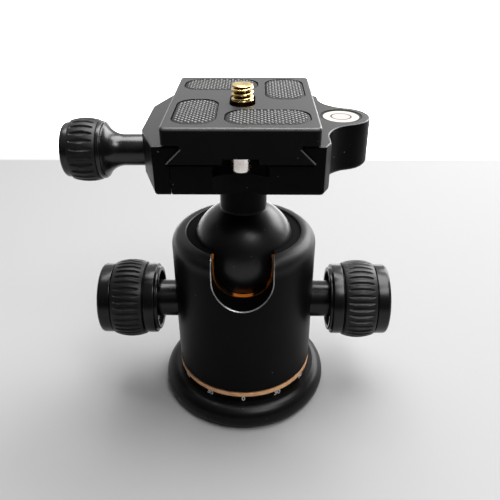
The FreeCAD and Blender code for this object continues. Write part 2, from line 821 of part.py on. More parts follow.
def make_lock_knob(name, side):
    """Knob body with its hub, rubber grip and end cap."""
    spigot_x = s.plunger_end_x - s.plunger_socket_depth + s.face_gap
    core_x = s.cap_start_x + s.cap_length / 2
    knob = turned_piece(name + "_knob_body", [(side * x, radius) for x, radius in [
        (spigot_x, as_size(0)),
        (spigot_x, s.hub_spigot_radius),
        (s.hub_end_x, s.hub_spigot_radius),
        (s.hub_end_x, s.hub_radius),
        (s.knob_inner_x + s.knob_recess_depth, s.hub_radius),
        (s.knob_inner_x + s.knob_recess_depth, s.knob_recess_radius),
        (s.knob_inner_x, s.knob_recess_radius),
        (s.knob_inner_x, s.knob_rim_radius),
        (s.knob_rim_x, s.knob_rim_radius),
        (s.knob_rim_x, s.knob_collar_radius),
        (s.knob_collar_x, s.knob_collar_radius),
        (s.knob_collar_x, s.knob_gap_radius),
        (s.grip_start_x, s.knob_gap_radius),
        (s.grip_start_x, s.knob_core_radius),
        (core_x, s.knob_core_radius),
        (core_x, as_size(0)),
    ]], along_x=True)
    move(knob, z=s.lock_axis_z)
    grip = make_grip(name + "_knob_grip", side, s.grip_start_x, s.grip_length, s.knob_core_radius,
                     s.grip_end_radius, s.grip_radius, s.grip_groove_width, s.grip_groove_depth,
                     s.grip_ribs)
    move(grip, z=s.lock_axis_z)
    cap_end = s.cap_start_x + s.cap_length
    cap = turned_piece(name + "_knob_cap", [
        (side * (s.cap_start_x - s.knob_gap), s.knob_core_radius),
        (side * (s.cap_start_x - s.knob_gap), s.knob_gap_radius),
        (side * s.cap_start_x, s.knob_gap_radius),
        (side * s.cap_start_x, s.cap_radius),
        (side * (cap_end - s.cap_rounding), s.cap_radius),
        (side * cap_end, s.cap_radius - s.cap_rounding, -side * s.cap_rounding),
        (side * cap_end, s.cap_dish_radius),
        (side * (cap_end - s.cap_dish_depth), s.cap_dish_radius - s.cap_dish_depth),
        (side * (cap_end - s.cap_dish_depth), 0),
        (side * core_x, 0),
        (side * core_x, s.knob_core_radius),
    ], along_x=True)
    move(cap, z=s.lock_axis_z)


def make_grip(label, side, start_x, length, bore, end_radius, radius, width, depth, ribs):
    """Rubber sleeve: a barrel whose lengthwise grooves run out where it gets thinner."""
    rise = radius - end_radius
    bulge = (length * length / 4 + rise * rise) / (2 * rise)
    near, far = side * start_x, side * (start_x + length)
    body = new_body(label)
    section = new_sketch(body, "XZ_Plane")
    add_loop(section, [(near, bore), (near, end_radius), (far, end_radius, -side * bulge),
                       (far, bore)])
    revolve(body, section, "H_Axis")
    across = new_sketch(body, "YZ_Plane")
    top = radius + depth
    add_loop(across, [(-width, top), (0, radius - depth), (width, top)])
    cut = pocket(body, across, 2 * (start_x + length) + 2, middle=True)
    repeat_around(body, cut, across, "N_Axis", ribs)
    return keep(body, label)


# Clamp

def clamp_outline():
    """Clamp seen from above: the ear flows into the side through two concave arcs."""
    corner_x = s.clamp_half_width - s.clamp_corner_x
    corner_y = s.clamp_half_length - s.clamp_corner_y
    run = corner_y - s.ear_y
    most = (run * run - s.ear_radius * s.ear_radius + s.ear_reach * s.ear_reach) / (
        2 * (s.ear_radius + s.ear_reach))
    fillet = smaller(s.ear_fillet, most - 0.1)
    offset_x = fillet - s.ear_reach
    reach = s.ear_radius + fillet
    offset_y = root(reach * reach - offset_x * offset_x)
    share = s.ear_radius / reach
    lobe_x = s.ear_x + share * offset_x
    return [
        (-s.split_x, -s.clamp_half_length),
        (corner_x, -s.clamp_half_length),
        (s.clamp_half_width, -corner_y),
        (s.clamp_half_width, s.ear_y - offset_y),
        (lobe_x, s.ear_y - share * offset_y, -fillet),
        (lobe_x, s.ear_y + share * offset_y, s.ear_radius),
        (s.clamp_half_width, s.ear_y + offset_y, -fillet),
        (s.clamp_half_width, corner_y),
        (corner_x, s.clamp_half_length),
        (-s.split_x, s.clamp_half_length),
    ]


def flank(side):
    """Clamp side of the dovetail, from the relief at the floor up to the open top."""
    low_x = s.dovetail_half_width + s.jaw_clearance
    neck_x = s.dovetail_neck + s.jaw_clearance
    neck_z = s.dovetail_knee_z + s.dovetail_rise
    return [(side * low_x, s.clamp_floor_z), (side * low_x, s.dovetail_knee_z),
            (side * neck_x, neck_z), (side * neck_x, s.clamp_top_z + 1)]


def make_clamp_body():
    height = s.clamp_top_z - s.clamp_bottom_z
    through = 2 * s.clamp_half_length + 2
    body = new_body("clamp_body")
    outline = new_sketch(body, "XY_Plane", s.clamp_bottom_z)
    add_loop(outline, clamp_outline())
    pad(body, outline, height)

    def outer_edge(edge, z):
        box = edge.BoundBox
        return at_height(edge, z) and box.XMax > -s.split_x.value + 1e-3
    soften(body, "Fillet", lambda edge: outer_edge(edge, s.clamp_bottom_z), s.clamp_edge_rounding)
    soften(body, "Fillet", lambda edge: outer_edge(edge, s.clamp_top_z), s.clamp_top_rounding)

    dovetail = new_sketch(body, "XZ_Plane")
    add_loop(dovetail, flank(1) + [(-(s.split_x + 1), s.clamp_top_z + 1),
                                   (-(s.split_x + 1), s.clamp_floor_z)])
    pocket(body, dovetail, through, middle=True)
    channel = new_sketch(body, "XZ_Plane")
    add_loop(channel, [(-s.channel_half_width, s.channel_floor_z),
                       (s.channel_half_width, s.channel_floor_z),
                       (s.channel_half_width, s.clamp_floor_z + 1),
                       (-s.channel_half_width, s.clamp_floor_z + 1)])
    pocket(body, channel, through, middle=True)
    gap = new_sketch(body, "XZ_Plane")
    low = s.clamp_bottom_z - 1
    add_loop(gap, [(-(s.split_x + 1), low), (s.split_chamfer + 1 - s.split_x, low),
                   (-s.split_x, s.clamp_bottom_z + s.split_chamfer),
                   (-(s.split_x + 1), s.clamp_bottom_z + s.split_chamfer)])
    pocket(body, gap, through, middle=True)

    half = s.channel_half_width
    scallop = (half * half + s.scallop_depth * s.scallop_depth) / (2 * s.scallop_depth)
    centre_y = s.clamp_half_length - s.scallop_depth + scallop
    scoops = new_sketch(body, "XY_Plane", s.clamp_floor_z)
    add_circle(scoops, 0, -centre_y, scallop)
    add_circle(scoops, 0, centre_y, scallop)
    pocket(body, scoops, height)

    bolt = new_sketch(body, "XY_Plane", s.clamp_floor_z)
    add_circle(bolt, 0, 0, s.bolt_radius + s.running_clearance)
    pocket(body, bolt, height)
    level = new_sketch(body, "XY_Plane", s.clamp_top_z)
    add_circle(level, s.ear_x, s.ear_y, s.level_radius)
    pocket(body, level, s.clamp_top_z - s.level_pocket_z)

    screw = new_sketch(body, "YZ_Plane", -s.clamp_screw_end_x)
    add_circle(screw, 0, s.clamp_axis_z, s.clamp_screw_radius + s.running_clearance)
    pocket(body, screw, s.split_x)
    pins = new_sketch(body, "YZ_Plane", -(s.guide_pin_end_x - s.face_gap))
    for way in (1, -1):
        add_circle(pins, way * s.guide_pin_y, s.clamp_axis_z,
                   s.guide_pin_radius + s.running_clearance)
    pocket(body, pins, s.split_x)
    spring = new_sketch(body, "YZ_Plane", -(s.split_x - s.spring_bore_depth))
    add_circle(spring, 0, s.clamp_axis_z, s.spring_bore_radius)
    pocket(body, spring, s.spring_bore_depth + 1)
    keep(body, "clamp_body")


def make_moving_jaw():
    """Moving jaw: a bar with swept ends, whose hook holds the plate's left dovetail."""
    height = s.clamp_top_z - s.clamp_bottom_z
    through = 2 * s.clamp_half_length + 2
    open_x = s.dovetail_neck + s.jaw_clearance - s.face_gap
    body = new_body("moving_jaw")
    outline = new_sketch(body, "XY_Plane", s.clamp_bottom_z)
    add_loop(outline, [
        (-open_x, -s.clamp_half_length),
        (-open_x, s.clamp_half_length),
        (-s.jaw_end_x, s.clamp_half_length),
        (-s.jaw_flat_x, s.jaw_flat_half),
        (-s.jaw_flat_x, -s.jaw_flat_half),
        (-s.jaw_end_x, -s.clamp_half_length),
    ])
    pad(body, outline, height)

    def outer_edge(edge, z):
        box = edge.BoundBox
        return at_height(edge, z) and box.XMin < -open_x.value - 1e-3
    soften(body, "Fillet", lambda edge: outer_edge(edge, s.clamp_bottom_z), s.clamp_edge_rounding)
    soften(body, "Fillet", lambda edge: outer_edge(edge, s.clamp_top_z), s.clamp_top_rounding)

    inside = new_sketch(body, "XZ_Plane")
    low = s.clamp_bottom_z - 1
    foot_z = s.clamp_bottom_z + s.split_chamfer
    add_loop(inside, [
        (-(s.jaw_inner_x + s.split_chamfer + 1), low),
        (-(open_x - 1), low),
        (-(open_x - 1), s.clamp_top_z + 1),
        (-(s.dovetail_neck + s.jaw_clearance), s.clamp_top_z + 1),
    ] + flank(-1)[2::-1] + [
        (-s.jaw_inner_x, s.clamp_floor_z),
        (-s.jaw_inner_x, foot_z),
    ])
    pocket(body, inside, through, middle=True)

    screw = new_sketch(body, "YZ_Plane", -s.jaw_inner_x)
    add_circle(screw, 0, s.clamp_axis_z, s.clamp_screw_radius + s.ball_clearance)
    pocket(body, screw, s.jaw_flat_x, backwards=False)
    pins = new_sketch(body, "YZ_Plane", -(s.jaw_inner_x + s.guide_pin_depth))
    for way in (1, -1):
        add_circle(pins, way * s.guide_pin_y, s.clamp_axis_z, s.guide_pin_radius)
    pocket(body, pins, s.guide_pin_depth + 1, backwards=True)
    seat = new_sketch(body, "YZ_Plane", -(s.jaw_inner_x + s.spring_bore_depth))
    add_circle(seat, 0, s.clamp_axis_z, s.spring_bore_radius)
    pocket(body, seat, s.spring_bore_depth + 1, backwards=True)
    keep(body, "moving_jaw")


def make_jaw_spring():
    """Spring round the clamp screw that pushes the jaw off. It is hidden, so it is a tube."""
    near_x = s.split_x - s.spring_bore_depth + s.running_clearance
    far_x = s.jaw_inner_x + s.spring_bore_depth - s.running_clearance
    spring = turned_piece("jaw_spring", [
        (-near_x, s.spring_inner_radius),
        (-near_x, s.spring_outer_radius),
        (-far_x, s.spring_outer_radius),
        (-far_x, s.spring_inner_radius),
    ], along_x=True)
    move(spring, z=s.clamp_axis_z)


def make_guide_pins():
    """Two pins pressed into the jaw that slide in the clamp body."""
    pins = []
    for name, way in (("guide_pin_front", -1), ("guide_pin_back", 1)):
        pin = doc.addObject("Part::Cylinder", name)
        bind(pin, "Radius", s.guide_pin_radius)
        bind(pin, "Height", s.jaw_inner_x + s.guide_pin_depth - s.guide_pin_end_x)
        pin.Placement.Rotation = FreeCAD.Rotation(FreeCAD.Vector(0, 1, 0), 90)
        move(pin, -(s.jaw_inner_x + s.guide_pin_depth), way * s.guide_pin_y, s.clamp_axis_z)
        pins.append(pin)
    group = doc.addObject("Part::Compound", "jaw_guide_pins")
    group.Links = pins
    doc.recompute()
    keep(group, "jaw_guide_pins")


def make_clamp_bolt():
    """Low-head bolt that fastens the clamp on the stem. Its head stops the sliding plate."""
    head_top = s.channel_floor_z + s.bolt_head_height
    body = turned_piece("clamp_bolt", [
        (0, s.bolt_end_z),
        (s.bolt_radius, s.bolt_end_z),
        (s.bolt_radius, s.channel_floor_z),
        (s.bolt_head_radius, s.channel_floor_z),
        (s.bolt_head_radius, head_top),
        (0, head_top),
    ])
    key = new_sketch(body, "XY_Plane", head_top)
    across = s.bolt_socket_radius
    half = across / 2
    add_loop(key, [(across, 0), (half, root(across * across - half * half)),
                   (-half, root(across * across - half * half)), (-across, 0),
                   (-half, -root(across * across - half * half)),
                   (half, -root(across * across - half * half))])
    pocket(body, key, s.bolt_socket_depth)


def make_level():
    """Round bubble level: case, fluid with a bubble, and a window."""
    case_top = s.clamp_top_z - s.level_sink
    inner = s.level_radius - s.level_wall
    floor_z = s.level_pocket_z + s.level_floor
    window_z = case_top - s.level_window
    bubble_z = window_z - s.bubble_height
    pieces = {
        "level_case": [(0, s.level_pocket_z), (s.level_radius, s.level_pocket_z),
                       (s.level_radius, case_top), (inner, case_top), (inner, floor_z),
                       (0, floor_z)],
        "level_fluid": [(0, floor_z), (inner, floor_z), (inner, window_z),
                        (s.bubble_radius, window_z), (s.bubble_radius, bubble_z), (0, bubble_z)],
        "level_bubble": [(0, bubble_z), (s.bubble_radius, bubble_z), (s.bubble_radius, window_z),
                         (0, window_z)],
        "level_window": [(0, window_z), (inner, window_z), (inner, case_top), (0, case_top)],
    }
    for label, corners in pieces.items():
        body = turned_piece(label, corners)
        move(body, s.ear_x, s.ear_y)


# Clamp knob

def make_clamp_knob():
    """Trumpet shaped knob body, rubber grip and cap; the body's stub carries the clamp screw."""
    drop = s.flare_end_x - s.flare_start_x
    rise = s.flare_radius - s.knob_neck_radius
    flare = (drop * drop + rise * rise) / (2 * rise)
    inside = s.clamp_screw_radius
    knob = turned_piece("clamp_knob_body", [
        (-s.clamp_knob_inner_x, inside),
        (-s.clamp_knob_inner_x, s.knob_neck_radius),
        (-s.flare_start_x, s.knob_neck_radius),
        (-s.flare_end_x, s.flare_radius, -flare),
        (-s.flare_end_x, s.small_gap_radius),
        (-s.small_collar_x, s.small_gap_radius),
        (-s.small_collar_x, s.small_collar_radius),
        (-s.small_grip_x, s.small_collar_radius),
        (-s.small_grip_x, s.small_core_radius),
        (-s.small_cap_x, s.small_core_radius),
        (-s.small_cap_x, 0),
        (-s.knob_stub_end_x, 0),
        (-s.knob_stub_end_x, inside),
    ], along_x=True)
    move(knob, z=s.clamp_axis_z)
    grip = make_grip("clamp_knob_grip", -1, s.small_grip_x, s.small_grip_length,
                     s.small_core_radius, s.small_grip_end_radius, s.small_grip_radius,
                     s.small_groove_width, s.small_groove_depth, s.small_grip_ribs)
    move(grip, z=s.clamp_axis_z)
    end_x = s.small_cap_x + s.small_cap_length
    cap = turned_piece("clamp_knob_cap", [
        (-s.small_cap_x, 0),
        (-s.small_cap_x, s.small_cap_radius),
        (s.small_cap_rounding - end_x, s.small_cap_radius),
        (-end_x, s.small_cap_radius - s.small_cap_rounding, s.small_cap_rounding),
        (-end_x, 0),
    ], along_x=True)
    move(cap, z=s.clamp_axis_z)
    screw = turned_piece("clamp_screw", [
        (-(s.clamp_screw_end_x + s.face_gap), 0),
        (-(s.clamp_screw_end_x + s.face_gap), s.clamp_screw_radius),
        (-s.knob_stub_end_x, s.clamp_screw_radius),
        (-s.knob_stub_end_x, 0),
    ], along_x=True)
    move(screw, z=s.clamp_axis_z)


# Quick release plate

def make_plate():
    channel = s.plate_channel_half_width
    neck = s.dovetail_neck
    top_z = s.plate_top_z
    right = [
        (channel, s.plate_bottom_z),
        (s.dovetail_half_width, s.plate_bottom_z),
        (s.dovetail_half_width, s.dovetail_knee_z),
        (neck, s.dovetail_knee_z + s.dovetail_rise),
        (neck, s.slab_bottom_z),
        (s.plate_half_width, s.slab_bottom_z),
        (s.plate_half_width, top_z),
    ]
    left = [(-u, v) for u, v in reversed(right)]
    body = new_body("quick_release_plate")
    section = new_sketch(body, "XZ_Plane")
    add_loop(section, right + left + [(-channel, s.plate_channel_top_z),
                                      (channel, s.plate_channel_top_z)])
    pad(body, section, 2 * s.plate_half_length, middle=True)

    def corner_edge(edge):
        box = edge.BoundBox
        upright = abs(box.XMin - box.XMax) < 1e-4 and abs(box.YMin - box.YMax) < 1e-4
        return upright and abs(abs(box.XMin) - s.plate_half_width.value) < 1e-3
    soften(body, "Fillet", corner_edge, s.plate_corner_rounding)
    soften(body, "Fillet", lambda edge: at_height(edge, top_z), s.plate_edge_rounding)

    slot = new_sketch(body, "XY_Plane", top_z)
    add_loop(slot, rounded_rectangle(-s.slot_half_width, s.slot_half_width,
                                     s.slot_y - s.slot_half_length,
                                     s.slot_y + s.slot_half_length, s.slot_half_width - 0.1))
    pocket(body, slot, top_z - s.plate_channel_top_z)
    head = new_sketch(body, "XY_Plane", s.plate_channel_top_z)
    add_loop(head, rounded_rectangle(-s.screw_pocket_half_width, s.screw_pocket_half_width,
                                     s.slot_y - s.screw_pocket_half_length,
                                     s.slot_y + s.screw_pocket_half_length,
                                     s.screw_pocket_half_width - 0.1))
    pocket(body, head, s.screw_pocket_top_z - s.plate_channel_top_z, backwards=True)
    recesses = new_sketch(body, "XY_Plane", top_z)
    for box in pad_places().values():
        add_loop(recesses, rounded_rectangle(*box, s.pad_corner))
    pocket(body, recesses, s.pad_depth)
    holes = new_sketch(body, "XY_Plane", s.plate_channel_top_z)
    for way in (1, -1):
        add_circle(holes, 0, way * s.stop_screw_y, s.stop_shank_radius)
    pocket(body, holes, s.stop_shank_depth, backwards=True)
    keep(body, "quick_release_plate")


def pad_places():
    """Four pads laid round the slot like a pinwheel: two lie along X and two along Y."""
    wide = (-s.pad_long_inner_x, s.pad_outer_x, -s.pad_outer_y, -s.pad_long_inner_y)
    tall = (-s.pad_outer_x, -s.pad_tall_inner_x, -s.pad_outer_y, s.pad_tall_inner_y)
    return {
        "pad_front_right": wide,
        "pad_back_left": (-wide[1], -wide[0], -wide[3], -wide[2]),
        "pad_front_left": tall,
        "pad_back_right": (-tall[1], -tall[0], -tall[3], -tall[2]),
    }


def make_pads():
    gap = s.pad_gap
    for label, (u0, u1, v0, v1) in pad_places().items():
        body = new_body(label)
        outline = new_sketch(body, "XY_Plane", s.plate_top_z - s.pad_depth)
        add_loop(outline, rounded_rectangle(u0 + gap, u1 - gap, v0 + gap, v1 - gap,
                                            s.pad_corner - gap))
        pad(body, outline, s.pad_depth + s.pad_proud)
        keep(body, label)


def make_camera_screw():
    head_top = s.slab_bottom_z
    shank_z = s.screw_pocket_top_z + 2 * s.face_gap
    thread_z = s.plate_top_z + s.thread_lift
    body = turned_piece("camera_screw", [
        (0, s.screw_head_bottom_z),
        (s.screw_head_radius, s.screw_head_bottom_z),
        (s.screw_head_radius, head_top),
        (s.screw_neck_radius, head_top),
        (s.screw_neck_radius, shank_z),
        (s.screw_shank_radius, shank_z),
        (s.screw_shank_radius, thread_z),
        (s.screw_radius, thread_z),
        (s.screw_radius, s.screw_top_z - s.screw_tip_chamfer),
        (s.screw_radius - s.screw_tip_chamfer, s.screw_top_z),
        (0, s.screw_top_z),
    ])
    half = s.screw_slot_width / 2
    wide = s.screw_head_radius + 1
    slot = new_sketch(body, "XY_Plane", s.screw_head_bottom_z)
    add_loop(slot, [(-wide, -half), (wide, -half), (wide, half), (-wide, half)])
    pocket(body, slot, s.screw_slot_depth, backwards=True)
    move(body, y=s.slot_y)
    washer_z = s.slab_bottom_z + s.running_clearance
    hole = s.screw_neck_radius + s.running_clearance
    washer = turned_piece("screw_washer", [
        (hole, washer_z),
        (s.screw_head_radius, washer_z),
        (s.screw_head_radius, washer_z + s.screw_washer_thickness),
        (hole, washer_z + s.screw_washer_thickness),
    ])
    move(washer, y=s.slot_y)


def make_stop_screws():
    """Two stop screws under the plate's ends that keep it from sliding out of the clamp."""
    body = new_body("stop_screw_front")
    section = new_sketch(body, "XZ_Plane")
    add_loop(section, [
        (0, s.stop_head_bottom_z),
        (s.stop_head_radius - s.stop_head_rounding, s.stop_head_bottom_z),
        (s.stop_head_radius, s.stop_head_bottom_z + s.stop_head_rounding, s.stop_head_rounding),
        (s.stop_head_radius, s.plate_channel_top_z),
        (s.stop_shank_radius, s.plate_channel_top_z),
        (s.stop_shank_radius, s.plate_channel_top_z + s.stop_shank_depth),
        (0, s.plate_channel_top_z + s.stop_shank_depth),
    ])
    revolve(body, section, "V_Axis")
    move(body, y=-s.stop_screw_y)
    other = doc.addObject("Part::Mirroring", "stop_screw_back")
    other.Source = body
    other.Normal = FreeCAD.Vector(0, 1, 0)
    group = doc.addObject("Part::Compound", "stop_screws")
    group.Links = [body, other]
    doc.recompute()
    keep(group, "stop_screws")


def build():
    make_base()
    make_spindle()
    make_housing()
    make_liner()
    make_snap_ring()
    make_seat()
    make_ball()
    make_plunger("ball_lock_plunger", -1, None)
    make_lock_knob("ball_lock", -1)
    make_plunger("pan_brake_shoe", 1, s.brake_radius + 2 * s.running_clearance)
    make_lock_knob("pan_lock", 1)
    make_clamp_body()
    make_moving_jaw()
    make_guide_pins()
    make_jaw_spring()
    make_clamp_bolt()
    make_level()
    make_clamp_knob()
    make_plate()
    make_pads()
    make_camera_screw()
    make_stop_screws()


def check_and_write():
    """Stops if any object failed or any sub-part is empty or broken, then writes them all."""
    doc.recompute()
    for thing in doc.Objects:
        if "Invalid" in thing.State or "Error" in thing.State:
            raise RuntimeError("failed object: " + thing.Label)
    for thing in nodes:
        if thing.Shape.isNull() or not thing.Shape.isValid() or not thing.Shape.Solids:
            raise RuntimeError("bad shape: " + thing.Label)
    os.makedirs("parts", exist_ok=True)
    for thing in nodes:
        thing.Shape.exportStep("parts/%s.step" % thing.Label)
    print(len(nodes), "sub-parts written")


build()
check_and_write()
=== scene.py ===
import json
import math

import bmesh
import bpy
import numpy as np
from mathutils import Matrix, Vector


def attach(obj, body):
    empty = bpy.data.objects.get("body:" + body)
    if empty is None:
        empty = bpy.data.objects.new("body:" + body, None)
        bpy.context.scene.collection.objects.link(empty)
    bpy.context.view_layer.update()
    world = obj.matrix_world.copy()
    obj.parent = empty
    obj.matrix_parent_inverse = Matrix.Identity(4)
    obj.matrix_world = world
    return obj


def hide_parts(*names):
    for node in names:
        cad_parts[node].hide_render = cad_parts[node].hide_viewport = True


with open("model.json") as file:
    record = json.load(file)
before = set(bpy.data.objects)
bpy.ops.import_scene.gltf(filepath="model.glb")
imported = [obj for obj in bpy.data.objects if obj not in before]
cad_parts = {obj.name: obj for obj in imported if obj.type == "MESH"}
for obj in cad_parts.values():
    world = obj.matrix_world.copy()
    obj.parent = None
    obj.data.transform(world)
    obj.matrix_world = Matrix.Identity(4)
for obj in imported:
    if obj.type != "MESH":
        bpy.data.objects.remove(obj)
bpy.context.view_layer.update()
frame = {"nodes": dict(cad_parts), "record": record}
mm = 0.001
print("frame loaded:", len(frame["nodes"]), "nodes")

# Places that several pieces share, mm
ballCentre = (0, 0, 54.5)
lockAxis = (0, 0, 34)
clampAxis = (0, 0, 87.9)
levelCentre = (28.3, 1.2, 0)
screwAxis = (0, -1, 0)


# Camera: a pinhole at the photograph's place, sizes in millimetres and degrees

cameraValues = {
    "focalPixels": 558.6,
    "picturePixels": 500,
    "sensor": 36.0,
    "place": (-4.3, -157.0, 148.0),
    "yaw": 2.3,
    "pitch": -31.1,
    "roll": -0.1,
    "orbit": 3.0,  # the head stands turned a little in the photograph
    "clipStart": 10,
}


def makeCamera(v):
    yaw, pitch = math.radians(v["yaw"]), math.radians(v["pitch"])
    forward = Vector((math.sin(yaw) * math.cos(pitch), math.cos(yaw) * math.cos(pitch),
                      math.sin(pitch)))
    right = forward.cross(Vector((0, 0, 1))).normalized()
    up = right.cross(forward)
    turn = Matrix((right, up, -forward)).transposed().to_4x4()
    turn = turn @ Matrix.Rotation(math.radians(v["roll"]), 4, "Z")
    data = bpy.data.cameras.new("camera")
    data.sensor_width = v["sensor"]
    data.lens = v["focalPixels"] / v["picturePixels"] * v["sensor"]
    data.clip_start = v["clipStart"] * mm
    camera = bpy.data.objects.new("camera", data)
    orbit = Matrix.Rotation(math.radians(v["orbit"]), 4, "Z")
    camera.matrix_world = orbit @ Matrix.Translation(Vector(v["place"]) * mm) @ turn
    bpy.context.scene.collection.objects.link(camera)
    bpy.context.scene.camera = camera


makeCamera(cameraValues)
print("camera placed")


# Shader maths as expressions: a Wire is a socket of one material's tree

class Wire:
    def __init__(self, tree, socket):
        self.tree = tree
        self.socket = socket

    def maths(self, operation, *values):
        node = self.tree.nodes.new("ShaderNodeMath")
        node.operation = operation
        for k, value in enumerate(values):
            if isinstance(value, Wire):
                self.tree.links.new(value.socket, node.inputs[k])
            else:
                node.inputs[k].default_value = value
        return Wire(self.tree, node.outputs[0])

    def __add__(self, other):
        return self.maths("ADD", self, other)

    def __sub__(self, other):
        return self.maths("SUBTRACT", self, other)

    def __rsub__(self, other):
        return self.maths("SUBTRACT", other, self)

    def __mul__(self, other):
        return self.maths("MULTIPLY", self, other)

    def __pow__(self, other):
        return self.maths("POWER", self, other)

    __radd__ = __add__

    def least(self, other):
        return self.maths("MINIMUM", self, other)

    def most(self, other):
        return self.maths("MAXIMUM", self, other)

    def size(self):
        return self.maths("ABSOLUTE", self)

    def between(self, low, high):  # 0 below low, 1 above high
        node = self.tree.nodes.new("ShaderNodeMapRange")
        node.interpolation_type = "SMOOTHSTEP"
        self.tree.links.new(self.socket, node.inputs["Value"])
        node.inputs["From Min"].default_value = low
        node.inputs["From Max"].default_value = high
        return Wire(self.tree, node.outputs["Result"])

    def past(self, limits):  # the same for a length, with both limits in mm
        return self.between(limits[0] * mm, limits[1] * mm)


class Finish:
    def __init__(self, name, **constants):
        self.material = bpy.data.materials.new(name)
        self.material.use_nodes = True
        self.tree = self.material.node_tree
        self.shader = self.tree.nodes["Principled BSDF"]
        self.paint(**constants)
        self.place = self.node("ShaderNodeTexCoord").outputs["Object"]

    def feed(self, node, key, value):
        names = {name.replace(" ", ""): name for name in node.inputs.keys()}
        socket = node.inputs[names[key]] if isinstance(key, str) else node.inputs[key]
        if isinstance(value, Wire):
            value = value.socket
        if isinstance(value, bpy.types.NodeSocket):
            self.tree.links.new(value, socket)
        else:
            socket.default_value = value

    def node(self, kind, settings=None, sockets=None):
        node = self.tree.nodes.new(kind)
        for key, value in (settings or {}).items():
            setattr(node, key, value)
        for key, value in (sockets or {}).items():
            self.feed(node, key, value)
        return node

    def wire(self, socket):
        return Wire(self.tree, socket)

    def noise(self, size, detail=2.0, vector=None):  # size of the grain in mm
        node = self.node("ShaderNodeTexNoise", None, {
            "Vector": vector or self.place, "Scale": 1 / (size * mm), "Detail": detail})
        return self.wire(node.outputs[0])

    def axes(self, vector=None):
        node = self.node("ShaderNodeSeparateXYZ", None, {"Vector": vector or self.place})
        return [self.wire(node.outputs[k]) for k in range(3)]

    def moved(self, centre):  # coordinates counted from a centre in mm
        node = self.node("ShaderNodeVectorMath", {"operation": "SUBTRACT"}, {0: self.place})
        node.inputs[1].default_value = [c * mm for c in centre]
        return node.outputs[0]

    def joined(self, x, y, z):
        node = self.node("ShaderNodeCombineXYZ", None, {"X": x, "Y": y, "Z": z})
        return node.outputs[0]

    def mixed(self, factor, first, second):
        node = self.node("ShaderNodeMix", {"data_type": "RGBA"})
        for key, value in ((0, factor), (6, first), (7, second)):
            self.feed(node, key, value)
        return node.outputs[2]

    def paint(self, **values):
        for key, value in values.items():
            self.feed(self.shader, key, value)

    def painted(self, name):  # what feeds a socket of the shader so far
        return self.shader.inputs[name].links[0].from_socket

    def bump(self, height, depth):  # depth in mm at height 1
        node = self.node("ShaderNodeBump", None, {"Height": height, "Distance": depth * mm,
                                                  "Strength": 1.0})
        self.paint(Normal=node.outputs[0])


def grey(level, tint=(1, 1, 1)):
    return (level * tint[0], level * tint[1], level * tint[2], 1)


def shades(tone, low, high):
    return [c * low for c in tone] + [1], [min(c * high, 1) for c in tone] + [1]


def radial(a, b):
    return (a * a + b * b) ** 0.5


def turningMarks(finish, axis, centre, size):
    # noise that changes along the axis and the radius only, so it runs round as a lathe's marks
    x, y, z = finish.axes(finish.moved(centre))
    along, a, b = (x, y, z) if axis == "X" else (z, x, y)
    return finish.noise(size, 3.0, finish.joined(along, radial(a, b), 0.0))


def dusted(finish, base, size, share):
    # a small share of the cells of a cell pattern holds a pale speck near its middle
    cells = finish.node("ShaderNodeTexVoronoi", None, {"Vector": finish.place,
                                                       "Scale": 1 / (size * mm)})
    near = 1 - finish.wire(cells.outputs["Distance"]).between(0.05, 0.13)
    chance = finish.node("ShaderNodeSeparateColor", None, {"Color": cells.outputs["Color"]})
    speck = near * finish.wire(chance.outputs[0]).between(1 - share, 1.01 - share)
    return finish.mixed(speck * 0.5, base, grey(0.3))


def anodised(name, level, rough, grain, depth, specks=0.05, shine=0.3):
    finish = Finish(name, SpecularIORLevel=shine)
    cloud = finish.noise(9.0, 3.0)
    fine = finish.noise(grain)
    base = finish.mixed(cloud.between(0.3, 0.7), grey(level * 0.85, (1, 1, 1.03)),
                        grey(level * 1.2, (1, 1, 1.02)))
    finish.paint(BaseColor=dusted(finish, base, 1.6, specks),
                 Roughness=rough - 0.05 + cloud * 0.06 + fine * 0.05)
    finish.bump(fine, depth)
    return finish


def turnedMetal(name, level, rough, axis="Z", centre=(0, 0, 0), marks=0.25, depth=0.003,
                shine=0.3):
    finish = Finish(name, SpecularIORLevel=shine)
    lines = turningMarks(finish, axis, centre, marks)
    cloud = finish.noise(6.0, 3.0)
    base = finish.mixed(cloud.between(0.3, 0.7), grey(level * 0.8), grey(level * 1.25))
    finish.paint(BaseColor=dusted(finish, base, 1.3, 0.06),
                 Roughness=rough - 0.06 + lines * 0.08 + cloud * 0.05)
    finish.bump(lines, depth)
    return finish


def bareMetal(name, tone, rough, centre=(0, 0, 0)):
    finish = Finish(name, Metallic=1.0)
    lines = turningMarks(finish, "Z", centre, 0.3)
    cloud = finish.noise(2.5, 3.0)
    finish.paint(BaseColor=finish.mixed(cloud.between(0.3, 0.7), *shades(tone, 0.8, 1.1)),
                 Roughness=rough + lines * 0.12)
    finish.bump(lines, 0.002)
    return finish


def moulded(name, tone, rough, grain=0.2, depth=0.004, shine=0.4):
    finish = Finish(name, SpecularIORLevel=shine)
    cloud = finish.noise(3.0, 3.0)
    fine = finish.noise(grain)
    finish.paint(BaseColor=finish.mixed(cloud, *shades(tone, 0.85, 1.12)),
                 Roughness=rough + fine * 0.1)
    finish.bump(fine, depth)
    return finish


def notchDistance(finish):
    # distance from the notch's middle line: straight sides above the ball's centre, round below
    x, y, z = finish.axes(finish.moved(ballCentre))
    return radial(x, z.least(0.0)), x, y, z


